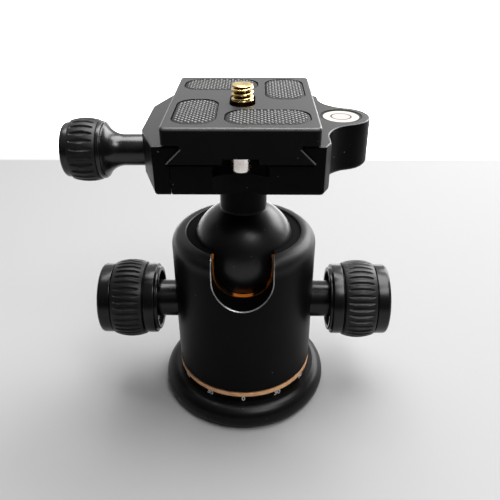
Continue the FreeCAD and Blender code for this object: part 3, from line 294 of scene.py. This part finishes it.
# pairs of limits in mm counted from the ball's centre, between which a mask fades; cut, inner and
# outer are distances from the notch's middle line
# the notch's chamfer: rubbed wear together with a painted highlight
notchWearAndHighlightValues = {"inner": (9.13, 9.2), "outer": (9.4, 9.5), "front": (-15.0, -14.0), "grain": 1.2,
             "tone": grey(0.42)}
# the liner's cut edge: painted shade, with its dark tone and where it fades
linerShadeValues = {"cut": (8.72, 8.86), "front": (-9, -8), "lowHalf": (2.6, 3.4), "lowTop": (-6, -5),
             "side": (6, 7), "sideFrom": (-5.2, -4.2), "sideTo": (0.5, 1.5),
             "tone": (0.62, 0.17, 0.02), "shadeTone": (0.006, 0.003, 0.002, 1)}


def notchWearAndHighlight(finish, v):
    # the chamfer round the notch is painted bright: partly rubbed bare metal, partly a painted
    # highlight of the light that the chamfer catches
    away, x, y, z = notchDistance(finish)
    edge = away.past(v["inner"]) * (1 - away.past(v["outer"])) * (1 - y.past(v["front"]))
    wearAndHighlight = edge * (0.55 + finish.noise(v["grain"]) * 0.6)
    rough = finish.wire(finish.painted("Roughness"))
    finish.paint(BaseColor=finish.mixed(wearAndHighlight, finish.painted("Base Color"), v["tone"]),
                 Roughness=rough - wearAndHighlight * 0.1, Metallic=wearAndHighlight * 0.8)


def linerOrange(name, v):
    # painted shade: the liner's cut edge round the notch is painted dark as the shade it lies in,
    # apart from two places, low in the middle and on the right, that keep their orange
    finish = moulded(name, v["tone"], 0.4)
    away, x, y, z = notchDistance(finish)
    edge = (1 - away.past(v["cut"])) * (1 - y.past(v["front"]))
    low = (1 - x.size().past(v["lowHalf"])) * (1 - z.past(v["lowTop"]))
    right = x.past(v["side"]) * z.past(v["sideFrom"]) * (1 - z.past(v["sideTo"]))
    shaded = edge * (1 - low.most(right))
    finish.paint(BaseColor=finish.mixed(shaded, finish.painted("Base Color"), v["shadeTone"]))
    return finish


def coatedBall(name):
    # the ball is polished, and its stem above is plain
    finish = turnedMetal(name, 0.002, 0.34, centre=ballCentre, marks=0.35, shine=0.04)
    finish.paint(CoatWeight=(1 - finish.axes()[2].past((69, 70.5))) * 0.7, CoatRoughness=0.34)
    return finish


def glossyTop(finish, height, weight, rough):
    # what faces up has taken a shine that the sides lack, so it starts at a height
    finish.paint(CoatWeight=finish.axes()[2].past(height) * weight, CoatRoughness=rough)


# the plate's edges and flank lines: rubbed wear together with painted highlights
# the flank is where the distance from the middle and the height add up to one figure
plateWearAndHighlightValues = {"side": 19.55, "end": 24.35, "fade": (0.0, 0.55), "rise": (102.1, 102.6),
             "flankSum": 112.55, "flankLine": (0.14, 0.34), "endFace": (24.6, 24.8),
             "lineTop": (97.2, 97.6), "tone": grey(0.13)}


def plateWearAndHighlight(finish, v):
    # the slab's outer edges and the dovetail's flank lines at both ends are painted lighter:
    # partly rubbed wear, partly painted highlights of the light that these edges catch
    x, y, z = finish.axes()
    across, along = x.size(), y.size()
    outer = (across - v["side"] * mm).most(along - v["end"] * mm)
    rim = outer.past(v["fade"]) * z.past(v["rise"])
    flank = (across + z - v["flankSum"] * mm).size()
    line = (1 - flank.past(v["flankLine"])) * along.past(v["endFace"]) * (
        1 - z.past(v["lineTop"]))
    wearAndHighlight = (rim * 0.75).most(line) * (0.6 + finish.noise(2.0) * 0.6)
    finish.paint(BaseColor=finish.mixed(wearAndHighlight, finish.painted("Base Color"), v["tone"]))


threadRootValues = {"depth": (2.55, 2.9), "tip": (106.8, 107.2), "metal": (0.83, 0.6, 0.24),
              "root": (0.12, 0.06, 0.015, 1)}


def threadedBrass(name, v):
    # the thread's roots are darker than its crests
    finish = bareMetal(name, v["metal"], 0.15, screwAxis)
    x, y, z = finish.axes(finish.moved(screwAxis))
    deep = (1 - radial(x, y).past(v["depth"])) * (1 - z.past(v["tip"]))
    finish.paint(BaseColor=finish.mixed(deep * 0.9, finish.painted("Base Color"), v["root"]))
    return finish


def knurledRubber(name, crestHeight):
    # the bumps' crests are painted grey, partly as wear and partly as the light that falls on
    # their tops: colour and roughness change with height
    finish = Finish(name, SpecularIORLevel=0.25)
    crest = finish.axes()[2].past(crestHeight)
    cloud = finish.noise(1.1, 3.0)
    tone = finish.mixed(crest * (0.5 + cloud * 0.6), grey(0.002), grey(0.25, (1, 1, 0.97)))
    finish.paint(BaseColor=tone, Roughness=0.62 - crest * 0.14)
    finish.bump(finish.noise(0.18), 0.01)
    return finish


levelValues = {"ringInner": (2.6, 2.7), "ringOuter": (3.05, 3.15), "ringTone": grey(0.004),
               "cream": ((0.5, 0.475, 0.42, 1), (0.6, 0.57, 0.51, 1)),
               "middle": (0.5, 0.41, 0.41, 1)}


def levelFace(name, v):
    # a cream face with a thin dark ring printed round the bubble's place
    finish = Finish(name, SpecularIORLevel=0.15)
    x, y, z = finish.axes(finish.moved(levelCentre))
    radius = radial(x, y)
    ring = radius.past(v["ringInner"]) - radius.past(v["ringOuter"])
    cloud = finish.noise(1.5, 3.0)
    cream = finish.mixed(cloud, *v["cream"])
    tone = finish.mixed((1 - radius.past(v["ringInner"])) * 0.85, cream, v["middle"])
    finish.paint(BaseColor=finish.mixed(ring, tone, v["ringTone"]), Roughness=0.3 + cloud * 0.08)
    return finish, ring


housingBlack = anodised("housing_black", level=0.002, rough=0.36, grain=0.12, depth=0.004,
                        shine=0.06)
glossyTop(housingBlack, (55, 60), weight=0.5, rough=0.42)
notchWearAndHighlight(housingBlack, notchWearAndHighlightValues)
clampBlack = anodised("clamp_black", level=0.002, rough=0.34, grain=0.8, depth=0.02, specks=0.1,
                      shine=0.04)
glossyTop(clampBlack, (97.6, 97.85), weight=0.75, rough=0.42)
plateBlack = anodised("plate_black", level=0.003, rough=0.4, grain=0.25, depth=0.008, shine=0.06)
glossyTop(plateBlack, (102.5, 102.9), weight=0.8, rough=0.42)
plateWearAndHighlight(plateBlack, plateWearAndHighlightValues)
flangeBlack = turnedMetal("flange_black", level=0.002, rough=0.32, shine=0.16)
ballBlack = coatedBall("ball_black")
lockBlack = turnedMetal("lock_black", level=0.003, rough=0.24, axis="X", centre=lockAxis)
clampKnobBlack = turnedMetal("clamp_knob_black", level=0.003, rough=0.24, axis="X",
                             centre=clampAxis, depth=0.001, shine=0.5)
rubberBlack = moulded("rubber_black", (0.005, 0.005, 0.0052), rough=0.36, grain=0.25, depth=0.008,
                      shine=0.3)
padBlack = knurledRubber("pad_black", crestHeight=(102.97, 103.2))
copper = bareMetal("copper_ring", (0.95, 0.5, 0.26), rough=0.36)
copper.paint(Metallic=0.25)
orange = linerOrange("orange_liner", linerShadeValues)
steel = bareMetal("steel", (0.56, 0.56, 0.55), rough=0.28)
darkSteel = bareMetal("dark_steel", (0.05, 0.05, 0.053), rough=0.35)
brightSteel = bareMetal("bright_steel", (1.0, 0.9, 0.86), rough=0.2)
brass = bareMetal("brass", (0.8, 0.58, 0.25), rough=0.2)
threadBrass = threadedBrass("thread_brass", threadRootValues)
ivory = moulded("ivory_plastic", (0.78, 0.76, 0.7), rough=0.4)
levelCase = moulded("level_case_plastic", (0.02, 0.02, 0.02), rough=0.5, shine=0.08)
levelCream = levelFace("level_cream", levelValues)[0]
levelBubble = moulded("level_bubble_air", (0.6, 0.47, 0.47), rough=0.15, grain=0.5, depth=0.001,
                      shine=0.6)
levelGlass, levelRing = levelFace("level_glass", levelValues)
levelGlass.paint(Alpha=levelRing * 0.25 + 0.72)
figureWhite = moulded("figure_white", (0.85, 0.85, 0.82), rough=0.5)
ringBlack = moulded("ring_black", (0.002, 0.002, 0.002), rough=0.6, shine=0.05)
print("finishes made")

nodeFinish = {
    "base_flange": flangeBlack, "tripod_bushing": steel, "pan_spindle": steel,
    "scale_ring": copper, "lower_slip_washer": ivory, "upper_slip_washer": ivory,
    "spindle_circlip": darkSteel, "housing": housingBlack, "ball_liner": orange,
    "liner_snap_ring": ringBlack, "ball_seat": ivory, "ball_stem": ballBlack,
    "ball_lock_plunger": brass, "ball_lock_knob_body": lockBlack,
    "ball_lock_knob_grip": rubberBlack, "ball_lock_knob_cap": lockBlack,
    "pan_brake_shoe": brass, "pan_lock_knob_body": lockBlack,
    "pan_lock_knob_grip": rubberBlack, "pan_lock_knob_cap": lockBlack,
    "clamp_body": clampBlack, "clamp_bolt": darkSteel, "level_case": levelCase,
    "level_fluid": levelCream, "level_bubble": levelBubble, "level_window": levelGlass,
    "moving_jaw": clampBlack, "jaw_guide_pins": steel, "jaw_spring": steel,
    "clamp_screw": steel, "clamp_knob_body": clampKnobBlack, "clamp_knob_grip": rubberBlack,
    "clamp_knob_cap": clampKnobBlack, "quick_release_plate": plateBlack,
    "pad_front_right": padBlack, "pad_back_left": padBlack, "pad_front_left": padBlack,
    "pad_back_right": padBlack, "stop_screws": brightSteel, "screw_washer": steel,
    "camera_screw": threadBrass,
}
for name, finish in nodeFinish.items():
    for place in frame["nodes"][name].material_slots:
        place.material = finish.material


# Shapes: whole surfaces from numpy arrays

bodyOf = {}
for body, members in frame["record"]["behaviour"]["bodies"].items():
    for node in members:
        bodyOf[node] = body


def meshObject(name, verts, faces, sharp=35):  # neighbours steeper than sharp degrees keep an edge
    mesh = bpy.data.meshes.new(name)
    mesh.from_pydata([tuple(v) for v in verts], [], [tuple(f) for f in faces])
    work = bmesh.new()
    work.from_mesh(mesh)
    bmesh.ops.remove_doubles(work, verts=work.verts, dist=2e-7)
    bmesh.ops.recalc_face_normals(work, faces=work.faces)
    work.to_mesh(mesh)
    work.free()
    mesh.shade_smooth()
    mesh.set_sharp_from_angle(angle=math.radians(sharp))
    piece = bpy.data.objects.new(name, mesh)
    bpy.context.scene.collection.objects.link(piece)
    return piece


def gridFaces(rows, count, closed=False):
    # four-cornered faces between neighbouring rows, each row running round
    faces = []
    for i in range(rows if closed else rows - 1):
        k = (i + 1) % rows
        faces += [(i * count + j, i * count + (j + 1) % count, k * count + (j + 1) % count,
                   k * count + j) for j in range(count)]
    return faces


def dress(piece, finish, node, stands=True):  # the piece rides with the node, and stands for it
    piece.data.materials.clear()
    piece.data.materials.append(finish.material)
    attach(piece, bodyOf[node])
    if stands:
        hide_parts(node)
    return piece


def evaluatedMesh(piece):  # the mesh that the piece's modifiers or its text give
    shape = piece.evaluated_get(bpy.context.evaluated_depsgraph_get())
    return bpy.data.meshes.new_from_object(shape)


def applied(piece):
    mesh = evaluatedMesh(piece)
    piece.modifiers.clear()
    piece.data = mesh
    return piece


def softPath(corners, steps=5):
    # corners (along, radius, rounding); each rounded one becomes a curve that touches both sides
    path = []
    for k, corner in enumerate(corners):
        here = np.array(corner[:2], float)
        rounding = corner[2] if len(corner) > 2 else 0
        if not rounding or k in (0, len(corners) - 1):
            path.append(here)
            continue
        back = np.array(corners[k - 1][:2]) - here
        ahead = np.array(corners[k + 1][:2]) - here
        backLength, aheadLength = np.linalg.norm(back), np.linalg.norm(ahead)
        back, ahead = back / backLength, ahead / aheadLength
        half = math.acos(max(-1, min(1, float(back @ ahead)))) / 2
        # the curve takes less than half of each side, so that neighbours don't meet
        reach = min(rounding / math.tan(half), 0.49 * backLength, 0.49 * aheadLength)
        for t in np.linspace(0, 1, steps):
            # a point between the touching points, pulled towards the corner as a parabola is
            path.append(here + back * reach * (1 - t) ** 2 + ahead * reach * t ** 2)
    return np.array(path)


def turned(name, path, sections, axis="Z", centre=(0, 0, 0), side=1, relief=None, closed=False):
    # the path turned round the axis; relief changes the radius by place along and angle
    angle = np.linspace(0, 2 * np.pi, sections, endpoint=False)
    along, radius = path[:, 0:1], path[:, 1:2] + 0 * angle
    if relief:
        radius = radius + relief(along, angle)
    a, b, c = radius * np.cos(angle), radius * np.sin(angle), along + 0 * angle
    grid = np.stack((side * c, a, b) if axis == "X" else (a, b, side * c), -1)
    verts = (grid.reshape(-1, 3) + np.array(centre)) * mm
    return meshObject(name, verts, gridFaces(len(path), sections, closed))


# merge in metres, the angles in degrees
softEdge = {"merge": 1e-6, "sharp": 180, "flat": 0.6, "corner": 28, "segments": 2,
            "evenness": 50}


def carried(node, finish, width, v=softEdge):
    # the CAD piece's own shape, its flat parts joined up and its edges rounded off
    source = frame["nodes"][node].data
    piece = meshObject(node + "_soft", [vert.co for vert in source.vertices],
                       [face.vertices for face in source.polygons], v["sharp"])
    work = bmesh.new()
    work.from_mesh(piece.data)
    bmesh.ops.remove_doubles(work, verts=work.verts, dist=v["merge"])
    bmesh.ops.dissolve_limit(work, angle_limit=math.radians(v["flat"]), verts=work.verts,
                             edges=work.edges)
    work.to_mesh(piece.data)
    work.free()
    soft = piece.modifiers.new("soft", "BEVEL")
    soft.width = width * mm
    soft.segments = v["segments"]
    soft.limit_method = "ANGLE"
    soft.angle_limit = math.radians(v["corner"])
    soft.use_clamp_overlap = True
    even = piece.modifiers.new("even", "WEIGHTED_NORMAL")
    even.mode = "FACE_AREA_WITH_ANGLE"
    even.weight = v["evenness"]
    return dress(applied(piece), finish, node)


# Lock knobs: rounded body, ribbed rubber band and dished cap. Starts and ends are mm along the
# axis from the head's middle, the other sizes are radii

lockKnob = {
    "axis": lockAxis, "pinStart": 12.4, "pin": 3.0, "hubStart": 18.1, "hub": 6.2,
    "rimStart": 28.4, "rim": 10.8, "hollow": 9.4, "hollowEnd": 30.6,
    "collarStart": 29.4, "collar": 11.9, "collarEnd": 33.0, "gap": 11.1,
    "bandStart": 33.4, "bandLength": 10.2, "core": 10.6, "bandEdge": 12.3, "band": 13.25,
    "bandRounding": 0.5, "bandSteps": 44,
    "capStart": 44.0, "cap": 11.8, "capEnd": 48.2, "dish": 9.4, "dishFloor": 8.9,
    "dishEnd": 47.7, "bodyEnd": 46.1,
    "ribs": 38, "groove": 0.62, "grooveWidth": 0.74, "margin": 0.9, "bandSections": 456,
    "sections": 128, "capSteps": 7,
}


def bandRelief(v):
    # grooves that taper out before the band's edges: depth falls with the distance across,
    # and their width shrinks to nothing at a margin from both ends
    def relief(along, angle):
        middle = v["bandStart"] + v["bandLength"] / 2
        reach = v["bandLength"] / 2 - v["margin"]
        t = np.clip(np.abs(along - middle) / reach, 0, 1)
        pitch = 2 * np.pi / v["ribs"]
        across = np.abs((angle + pitch / 2) % pitch - pitch / 2) * v["band"]
        width = v["grooveWidth"] * np.sqrt(1 - t ** 2) + 1e-6
        inside = np.clip(1 - (across / width) ** 2, 0, 1)
        return -v["groove"] * inside ** 0.8 * np.sqrt(1 - t ** 4)
    return relief


def bandPath(v):
    # a barrel: its radius follows a parabola's bulge from the ends to the middle
    start, end = v["bandStart"], v["bandStart"] + v["bandLength"]
    top = [(start + v["bandLength"] * (u + 1) / 2,
            v["bandEdge"] + (v["band"] - v["bandEdge"]) * (1 - u * u))
           for u in np.linspace(-1, 1, v["bandSteps"])]
    top[0] = (start, v["bandEdge"], v["bandRounding"])
    top[-1] = (end, v["bandEdge"], v["bandRounding"])
    return softPath([(start, v["core"])] + top + [(end, v["core"])])


def makeBand(name, node, side, v):
    band = turned(name, bandPath(v), v["bandSections"], "X", v["axis"], side, bandRelief(v), True)
    dress(band, rubberBlack, node)


def makeLockKnob(name, side, v):
    bandEnd = v["bandStart"] + v["bandLength"]
    body = softPath([
        (v["pinStart"], 0), (v["pinStart"], v["pin"], 0.3), (v["hubStart"], v["pin"]),
        (v["hubStart"], v["hub"], 0.3), (v["hollowEnd"], v["hub"], 0.4),
        (v["hollowEnd"], v["hollow"], 0.4), (v["rimStart"], v["hollow"], 0.4),
        (v["rimStart"], v["rim"], 0.45), (v["collarStart"], v["rim"], 0.2),
        (v["collarStart"], v["collar"], 0.5), (v["collarEnd"], v["collar"], 0.4),
        (v["collarEnd"], v["gap"], 0.15), (v["bandStart"], v["gap"]), (v["bandStart"], v["core"]),
        (v["bodyEnd"], v["core"]), (v["bodyEnd"], 0)])
    dress(turned(name + "_turned", body, v["sections"], "X", v["axis"], side), lockBlack,
          name + "_body")
    makeBand(name + "_band", name + "_grip", side, v)
    cap = softPath([
        (bandEnd, v["core"]), (bandEnd, v["gap"]), (v["capStart"], v["gap"], 0.1),
        (v["capStart"], v["cap"], 0.35), (v["capEnd"], v["cap"], 1.5),
        (v["capEnd"], v["dish"], 0.5), (v["dishEnd"], v["dishFloor"], 0.5), (v["dishEnd"], 0),
        (v["bodyEnd"], 0), (v["bodyEnd"], v["core"])], v["capSteps"])
    dress(turned(name + "_dished_cap", cap, v["sections"], "X", v["axis"], side), lockBlack,
          name + "_cap")


makeLockKnob("ball_lock_knob", -1, lockKnob)
makeLockKnob("pan_lock_knob", 1, lockKnob)
print("lock knobs made")


# Clamp knob: trumpet, ribbed band and cap, with sizes as for the lock knobs

clampKnob = {
    "axis": clampAxis, "stubStart": 25.0, "stub": 2.5, "neckStart": 27.5, "neck": 4.6,
    "flareStart": 34.8, "flareEnd": 40.2, "flare": 8.1, "gap": 7.7,
    "collarStart": 40.6, "collar": 8.4,
    "bandStart": 41.9, "bandLength": 8.1, "core": 7.6, "bandEdge": 8.7, "band": 9.3,
    "bandRounding": 0.4, "bandSteps": 36,
    "bodyEnd": 50.0, "cap": 8.0, "capEnd": 52.4,
    "ribs": 25, "groove": 0.5, "grooveWidth": 0.72, "margin": 0.7, "bandSections": 350,
    "sections": 96, "capSteps": 7, "flareSteps": 16,
}


def makeClampKnob(v):
    # the flare is the arc of a circle that leaves the neck without a corner
    run, rise = v["flareEnd"] - v["flareStart"], v["flare"] - v["neck"]
    bend = (run * run + rise * rise) / (2 * rise)
    flare = [(v["flareStart"] + t, v["neck"] + bend - math.sqrt(bend * bend - t * t))
             for t in np.linspace(0, run, v["flareSteps"])]
    flare[-1] = (*flare[-1], 0.35)
    body = softPath(
        [(v["stubStart"], 0), (v["stubStart"], v["stub"]), (v["neckStart"], v["stub"]),
         (v["neckStart"], v["neck"], 0.4)] + flare
        + [(v["flareEnd"], v["gap"], 0.1), (v["collarStart"], v["gap"], 0.1),
           (v["collarStart"], v["collar"], 0.3), (v["bandStart"], v["collar"], 0.2),
           (v["bandStart"], v["core"]), (v["bodyEnd"], v["core"]), (v["bodyEnd"], 0)])
    dress(turned("clamp_knob_trumpet", body, v["sections"], "X", v["axis"], -1), clampKnobBlack,
          "clamp_knob_body")
    makeBand("clamp_knob_band", "clamp_knob_grip", -1, v)
    cap = softPath([(v["bodyEnd"], 0), (v["bodyEnd"], v["cap"], 0.2),
                    (v["capEnd"], v["cap"], 1.1), (v["capEnd"], 0)], v["capSteps"])
    dress(turned("clamp_knob_round_cap", cap, v["sections"], "X", v["axis"], -1),
          clampKnobBlack, "clamp_knob_cap")


makeClampKnob(clampKnob)
print("clamp knob made")


# Jaw spring: a coil of round wire

coilValues = {"axis": clampAxis, "start": 15.65, "length": 5.3, "radius": 2.8, "wire": 0.2,
              "turns": 5, "steps": 28, "sides": 8}


def makeCoil(v):
    # a wire's circle carried along a helix about the X axis
    t = np.linspace(0, 1, v["turns"] * v["steps"] + 1)
    angle = 2 * np.pi * v["turns"] * t
    ring = np.linspace(0, 2 * np.pi, v["sides"], endpoint=False)
    along = v["start"] + v["wire"] + (v["length"] - 2 * v["wire"]) * t
    radius = v["radius"] + v["wire"] * np.cos(ring)[None, :]
    x = along[:, None] + v["wire"] * np.sin(ring)[None, :]
    y = radius * np.cos(angle)[:, None]
    z = radius * np.sin(angle)[:, None]
    verts = (np.stack((-x, y, z), -1).reshape(-1, 3) + np.array(v["axis"])) * mm
    ends = [tuple(row * v["sides"] + j for j in range(v["sides"])) for row in (0, len(t) - 1)]
    faces = gridFaces(len(t), v["sides"]) + ends
    dress(meshObject("jaw_coil", verts, faces), steel, "jaw_spring")


makeCoil(coilValues)
print("spring made")


# Clamp, jaw and plate with soft edges, widths in mm

for node, finish, width in (("clamp_body", clampBlack, 0.35), ("moving_jaw", clampBlack, 0.4),
                            ("quick_release_plate", plateBlack, 0.3)):
    carried(node, finish, width)
print("clamp, jaw and plate made")


# Rubber pads with a knurl of small bumps: the outlines as x0, x1, y0, y1

pads = {
    "pad_back_left": (-17.95, 4.25, 9.75, 21.95),
    "pad_back_right": (6.55, 17.95, -0.05, 21.95),
    "pad_front_left": (-17.95, -6.55, -21.95, 0.05),
    "pad_front_right": (-4.25, 17.95, -21.95, -9.75),
}
padValues = {"corner": 4.85, "bottom": 102.2, "top": 103.25, "knurl": 0.4, "pitch": 1.25,
             "edge": 0.35, "edgeDrop": 0.6, "calmStart": 0.25, "calmWidth": 0.4,
             "blunt": 0.8, "rings": 46, "step": 0.17, "sharp": 80}


def roundedOutline(x0, x1, y0, y1, corner, step):
    points = []
    for cx, cy, start in ((x1 - corner, y0 + corner, -90), (x1 - corner, y1 - corner, 0),
                          (x0 + corner, y1 - corner, 90), (x0 + corner, y0 + corner, 180)):
        count = max(6, int(corner * math.pi / 2 / step))
        for t in np.linspace(0, 1, count):
            a = math.radians(start + 90 * t)
            points.append((cx + corner * math.cos(a), cy + corner * math.sin(a)))
    dense = []
    for k, point in enumerate(points):
        following = points[(k + 1) % len(points)]
        count = max(1, round(math.dist(point, following) / step))
        dense += [(point[0] + (following[0] - point[0]) * i / count,
                   point[1] + (following[1] - point[1]) * i / count) for i in range(count)]
    return np.array(dense)


def makePad(name, box, v):
    # rings shrunk from the outline to the middle; height is a product of two crossing waves,
    # which fades out towards the edge, and the edge itself is rounded down
    outline = roundedOutline(*box, v["corner"], v["step"])
    middle = np.array([(box[0] + box[1]) / 2, (box[2] + box[3]) / 2])
    share = np.linspace(0, 1, v["rings"])
    flat = middle + (outline - middle)[None, :, :] * share[:, None, None]
    a = (flat[..., 0] + flat[..., 1]) / math.sqrt(2)
    b = (flat[..., 0] - flat[..., 1]) / math.sqrt(2)
    wave = (0.5 + 0.5 * np.cos(2 * np.pi * a / v["pitch"])) * (
        0.5 + 0.5 * np.cos(2 * np.pi * b / v["pitch"]))
    fromEdge = (1 - share)[:, None] * (min(box[1] - box[0], box[3] - box[2]) / 2)
    calm = np.clip((fromEdge - v["calmStart"]) / v["calmWidth"], 0, 1)
    drop = v["edge"] * (1 - np.clip(fromEdge / v["edge"], 0, 1)) ** 2
    height = v["top"] - v["knurl"] * (1 - wave ** v["blunt"] * calm) - drop * v["edgeDrop"]
    centre = np.broadcast_to(middle, (1, len(outline), 2))
    bottom = np.full((1, len(outline)), v["bottom"])
    rows = np.concatenate((flat, outline[None], centre), 0)
    height = np.concatenate((height, bottom, bottom), 0)
    verts = np.concatenate((rows, height[..., None]), -1).reshape(-1, 3) * mm
    faces = gridFaces(len(rows), len(outline))
    dress(meshObject(name + "_knurled", verts, faces, v["sharp"]), padBlack, name)


for name, box in pads.items():
    makePad(name, box, padValues)
print("pads made")


# Camera screw with its thread and slotted head: starts, ends and tops are heights, the rest radii

screwValues = {
    "headStart": 95.4, "head": 4.5, "headEnd": 98.4, "neck": 2.4, "neckEnd": 99.6, "shank": 3.0,
    "start": 103.3, "end": 107.25, "radius": 3.175, "depth": 0.72, "pitch": 1.27, "blunt": 0.75,
    "fadeIn": 0.35, "fadeOut": 0.3, "shoulder": 2.85, "tip": 2.0, "top": 107.7,
    "plain": 0.25,  # what the rod's end and the tip's rise each take off the height
    "slotReach": 6, "slotHalf": 0.6, "slotHeights": (94, 96.8), "sections": 96, "rodSteps": 62,
    "sharp": 40,
}


def makeCameraScrew(v):
    def thread(along, angle):
        # the crest's height is a rounded wave of the turn that the angle and the lead give
        phase = along / v["pitch"] - angle / (2 * np.pi)
        wave = (0.5 + 0.5 * np.cos(2 * np.pi * phase)) ** v["blunt"]
        fade = np.clip((along - v["start"]) / v["fadeIn"], 0, 1) * np.clip(
            (v["end"] - along) / v["fadeOut"], 0, 1)
        return -v["depth"] * (1 - wave) * fade
    rod = [(z, v["radius"])
           for z in np.linspace(v["start"], v["end"] - v["plain"], v["rodSteps"])]
    path = softPath([
        (v["headStart"], 0), (v["headStart"], v["head"], 0.3), (v["headEnd"], v["head"], 0.3),
        (v["headEnd"], v["neck"]), (v["neckEnd"], v["neck"]), (v["neckEnd"], v["shank"], 0.2),
        (v["start"], v["shank"])] + rod + [
        (v["top"] - v["plain"], v["shoulder"], 0.4), (v["top"], v["tip"], 0.6), (v["top"], 0)])
    piece = turned("camera_screw_threaded", path, v["sections"], "Z", screwAxis, 1, thread)
    slot = meshObject("slot", [(x * v["slotReach"] * mm, (screwAxis[1] + y * v["slotHalf"]) * mm,
                                z * mm) for x in (-1, 1) for y in (-1, 1)
                               for z in v["slotHeights"]],
                      [(0, 1, 3, 2), (4, 6, 7, 5), (0, 4, 5, 1), (2, 3, 7, 6), (0, 2, 6, 4),
                       (1, 5, 7, 3)])
    cut = piece.modifiers.new("slot", "BOOLEAN")
    cut.operation = "DIFFERENCE"
    cut.object = slot
    applied(piece)
    bpy.data.objects.remove(slot)
    piece.data.set_sharp_from_angle(angle=math.radians(v["sharp"]))
    dress(piece, threadBrass, "camera_screw")


makeCameraScrew(screwValues)
print("camera screw made")


# Degree figures on the base's neck

figureValues = {"height": 1.75, "capitalShare": 0.69, "weight": 0.015, "z": 8.86,
                "radius": 22.72, "thick": 0.05, "every": 30, "steps": range(-5, 7)}


def makeFigures(v):
    verts, faces = [], []
    for step in v["steps"]:
        data = bpy.data.curves.new("figure", "FONT")
        data.body = str(abs(step) * v["every"])
        data.align_x = "CENTER"
        data.align_y = "CENTER"
        data.size = v["height"] / v["capitalShare"]
        data.extrude = v["thick"] / 2
        data.offset = v["weight"]
        text = bpy.data.objects.new("figure", data)
        bpy.context.scene.collection.objects.link(text)
        mesh = evaluatedMesh(text)
        start = len(verts)
        for vert in mesh.vertices:
            # across becomes the angle round the neck, up stays up, thickness adds to the radius
            angle = math.radians(step * v["every"]) + vert.co.x / v["radius"]
            radius = v["radius"] + vert.co.z
            verts.append((radius * math.sin(angle) * mm, -radius * math.cos(angle) * mm,
                          (v["z"] + vert.co.y) * mm))
        faces += [tuple(start + k for k in face.vertices) for face in mesh.polygons]
        bpy.data.objects.remove(text)
    dress(meshObject("scale_figures", verts, faces), figureWhite, "scale_ring", False)


makeFigures(figureValues)
print("figures made")


# Floor, backdrop and light

stageValues = {
    "floorHalf": 1.5,  # metres
    "floorLevel": 0.27,
    "floorEnd": (208, 226),  # the floor fades to the white backdrop, mm behind the origin
    "heading": -0.3,  # degrees that the fade's line is turned
    "skyFront": 0.02,
    "skyBack": 0.8,
    "skyRise": (0.35, 0.95),  # where the light grows, 0 at the front and 1 at the back
    "skyTop": 0.2,
    "skyRight": 0.15,
    "lights": (  # name, place and size in metres, power in watts
        ("top_light", (0.08, 0.15, 0.75), (0.7, 0.5), 11.0),
        ("back_light", (0.5, 0.5, 0.42), (0.6, 0.5), 8.0),
        ("front_light", (0.28, -0.4, 0.8), (0.35, 0.3), 3.5),
    ),
}


def makeFloor(v):
    half = v["floorHalf"]
    mesh = bpy.data.meshes.new("floor")
    mesh.from_pydata([(-half, -half, 0), (half, -half, 0), (half, half, 0), (-half, half, 0)],
                     [], [(0, 1, 2, 3)])
    floor = bpy.data.objects.new("floor", mesh)
    bpy.context.scene.collection.objects.link(floor)
    finish = Finish("floor_grey", Roughness=0.9, SpecularIORLevel=0.2)
    x, y, z = finish.axes()
    heading = math.radians(v["heading"])
    fade = (y * math.cos(heading) + x * math.sin(heading)).past(v["floorEnd"])
    finish.paint(BaseColor=finish.mixed(fade, grey(v["floorLevel"]), grey(1.0)),
                 EmissionColor=finish.mixed(fade, grey(0.0), grey(1.0)), EmissionStrength=1.0)
    floor.data.materials.append(finish.material)


def makeSky(v):
    # white to the camera; what it lights grows from front to back, upwards and to the right
    world = bpy.data.worlds.new("studio")
    bpy.context.scene.world = world
    world.use_nodes = True
    tree = world.node_tree
    tree.nodes.clear()
    coords = tree.nodes.new("ShaderNodeTexCoord")
    split = tree.nodes.new("ShaderNodeSeparateXYZ")
    tree.links.new(coords.outputs["Generated"], split.inputs[0])
    x, y, z = [Wire(tree, split.outputs[k]) for k in range(3)]
    glow = (y * 0.5 + 0.5).between(*v["skyRise"])
    level = v["skyFront"] + glow * (v["skyBack"] - v["skyFront"])
    level = level + z.between(0.2, 1.0) * v["skyTop"] + x.between(0.0, 0.9) * v["skyRight"]
    seen = Wire(tree, tree.nodes.new("ShaderNodeLightPath").outputs["Is Camera Ray"])
    strength = seen + (1 - seen) * level
    shade = tree.nodes.new("ShaderNodeBackground")
    shade.inputs["Color"].default_value = grey(1.0)
    tree.links.new(strength.socket, shade.inputs["Strength"])
    out = tree.nodes.new("ShaderNodeOutputWorld")
    tree.links.new(shade.outputs[0], out.inputs[0])


def makeLights(v):  # each one faces the origin
    for name, place, size, power in v["lights"]:
        data = bpy.data.lights.new(name, "AREA")
        data.shape = "RECTANGLE"
        data.size, data.size_y = size
        data.energy = power
        lamp = bpy.data.objects.new(name, data)
        lamp.location = place
        lamp.rotation_euler = Vector(place).to_track_quat("Z", "Y").to_euler()
        bpy.context.scene.collection.objects.link(lamp)


makeFloor(stageValues)
makeSky(stageValues)
makeLights(stageValues)
bpy.context.scene.view_settings.view_transform = "Standard"
print("stage and light made")
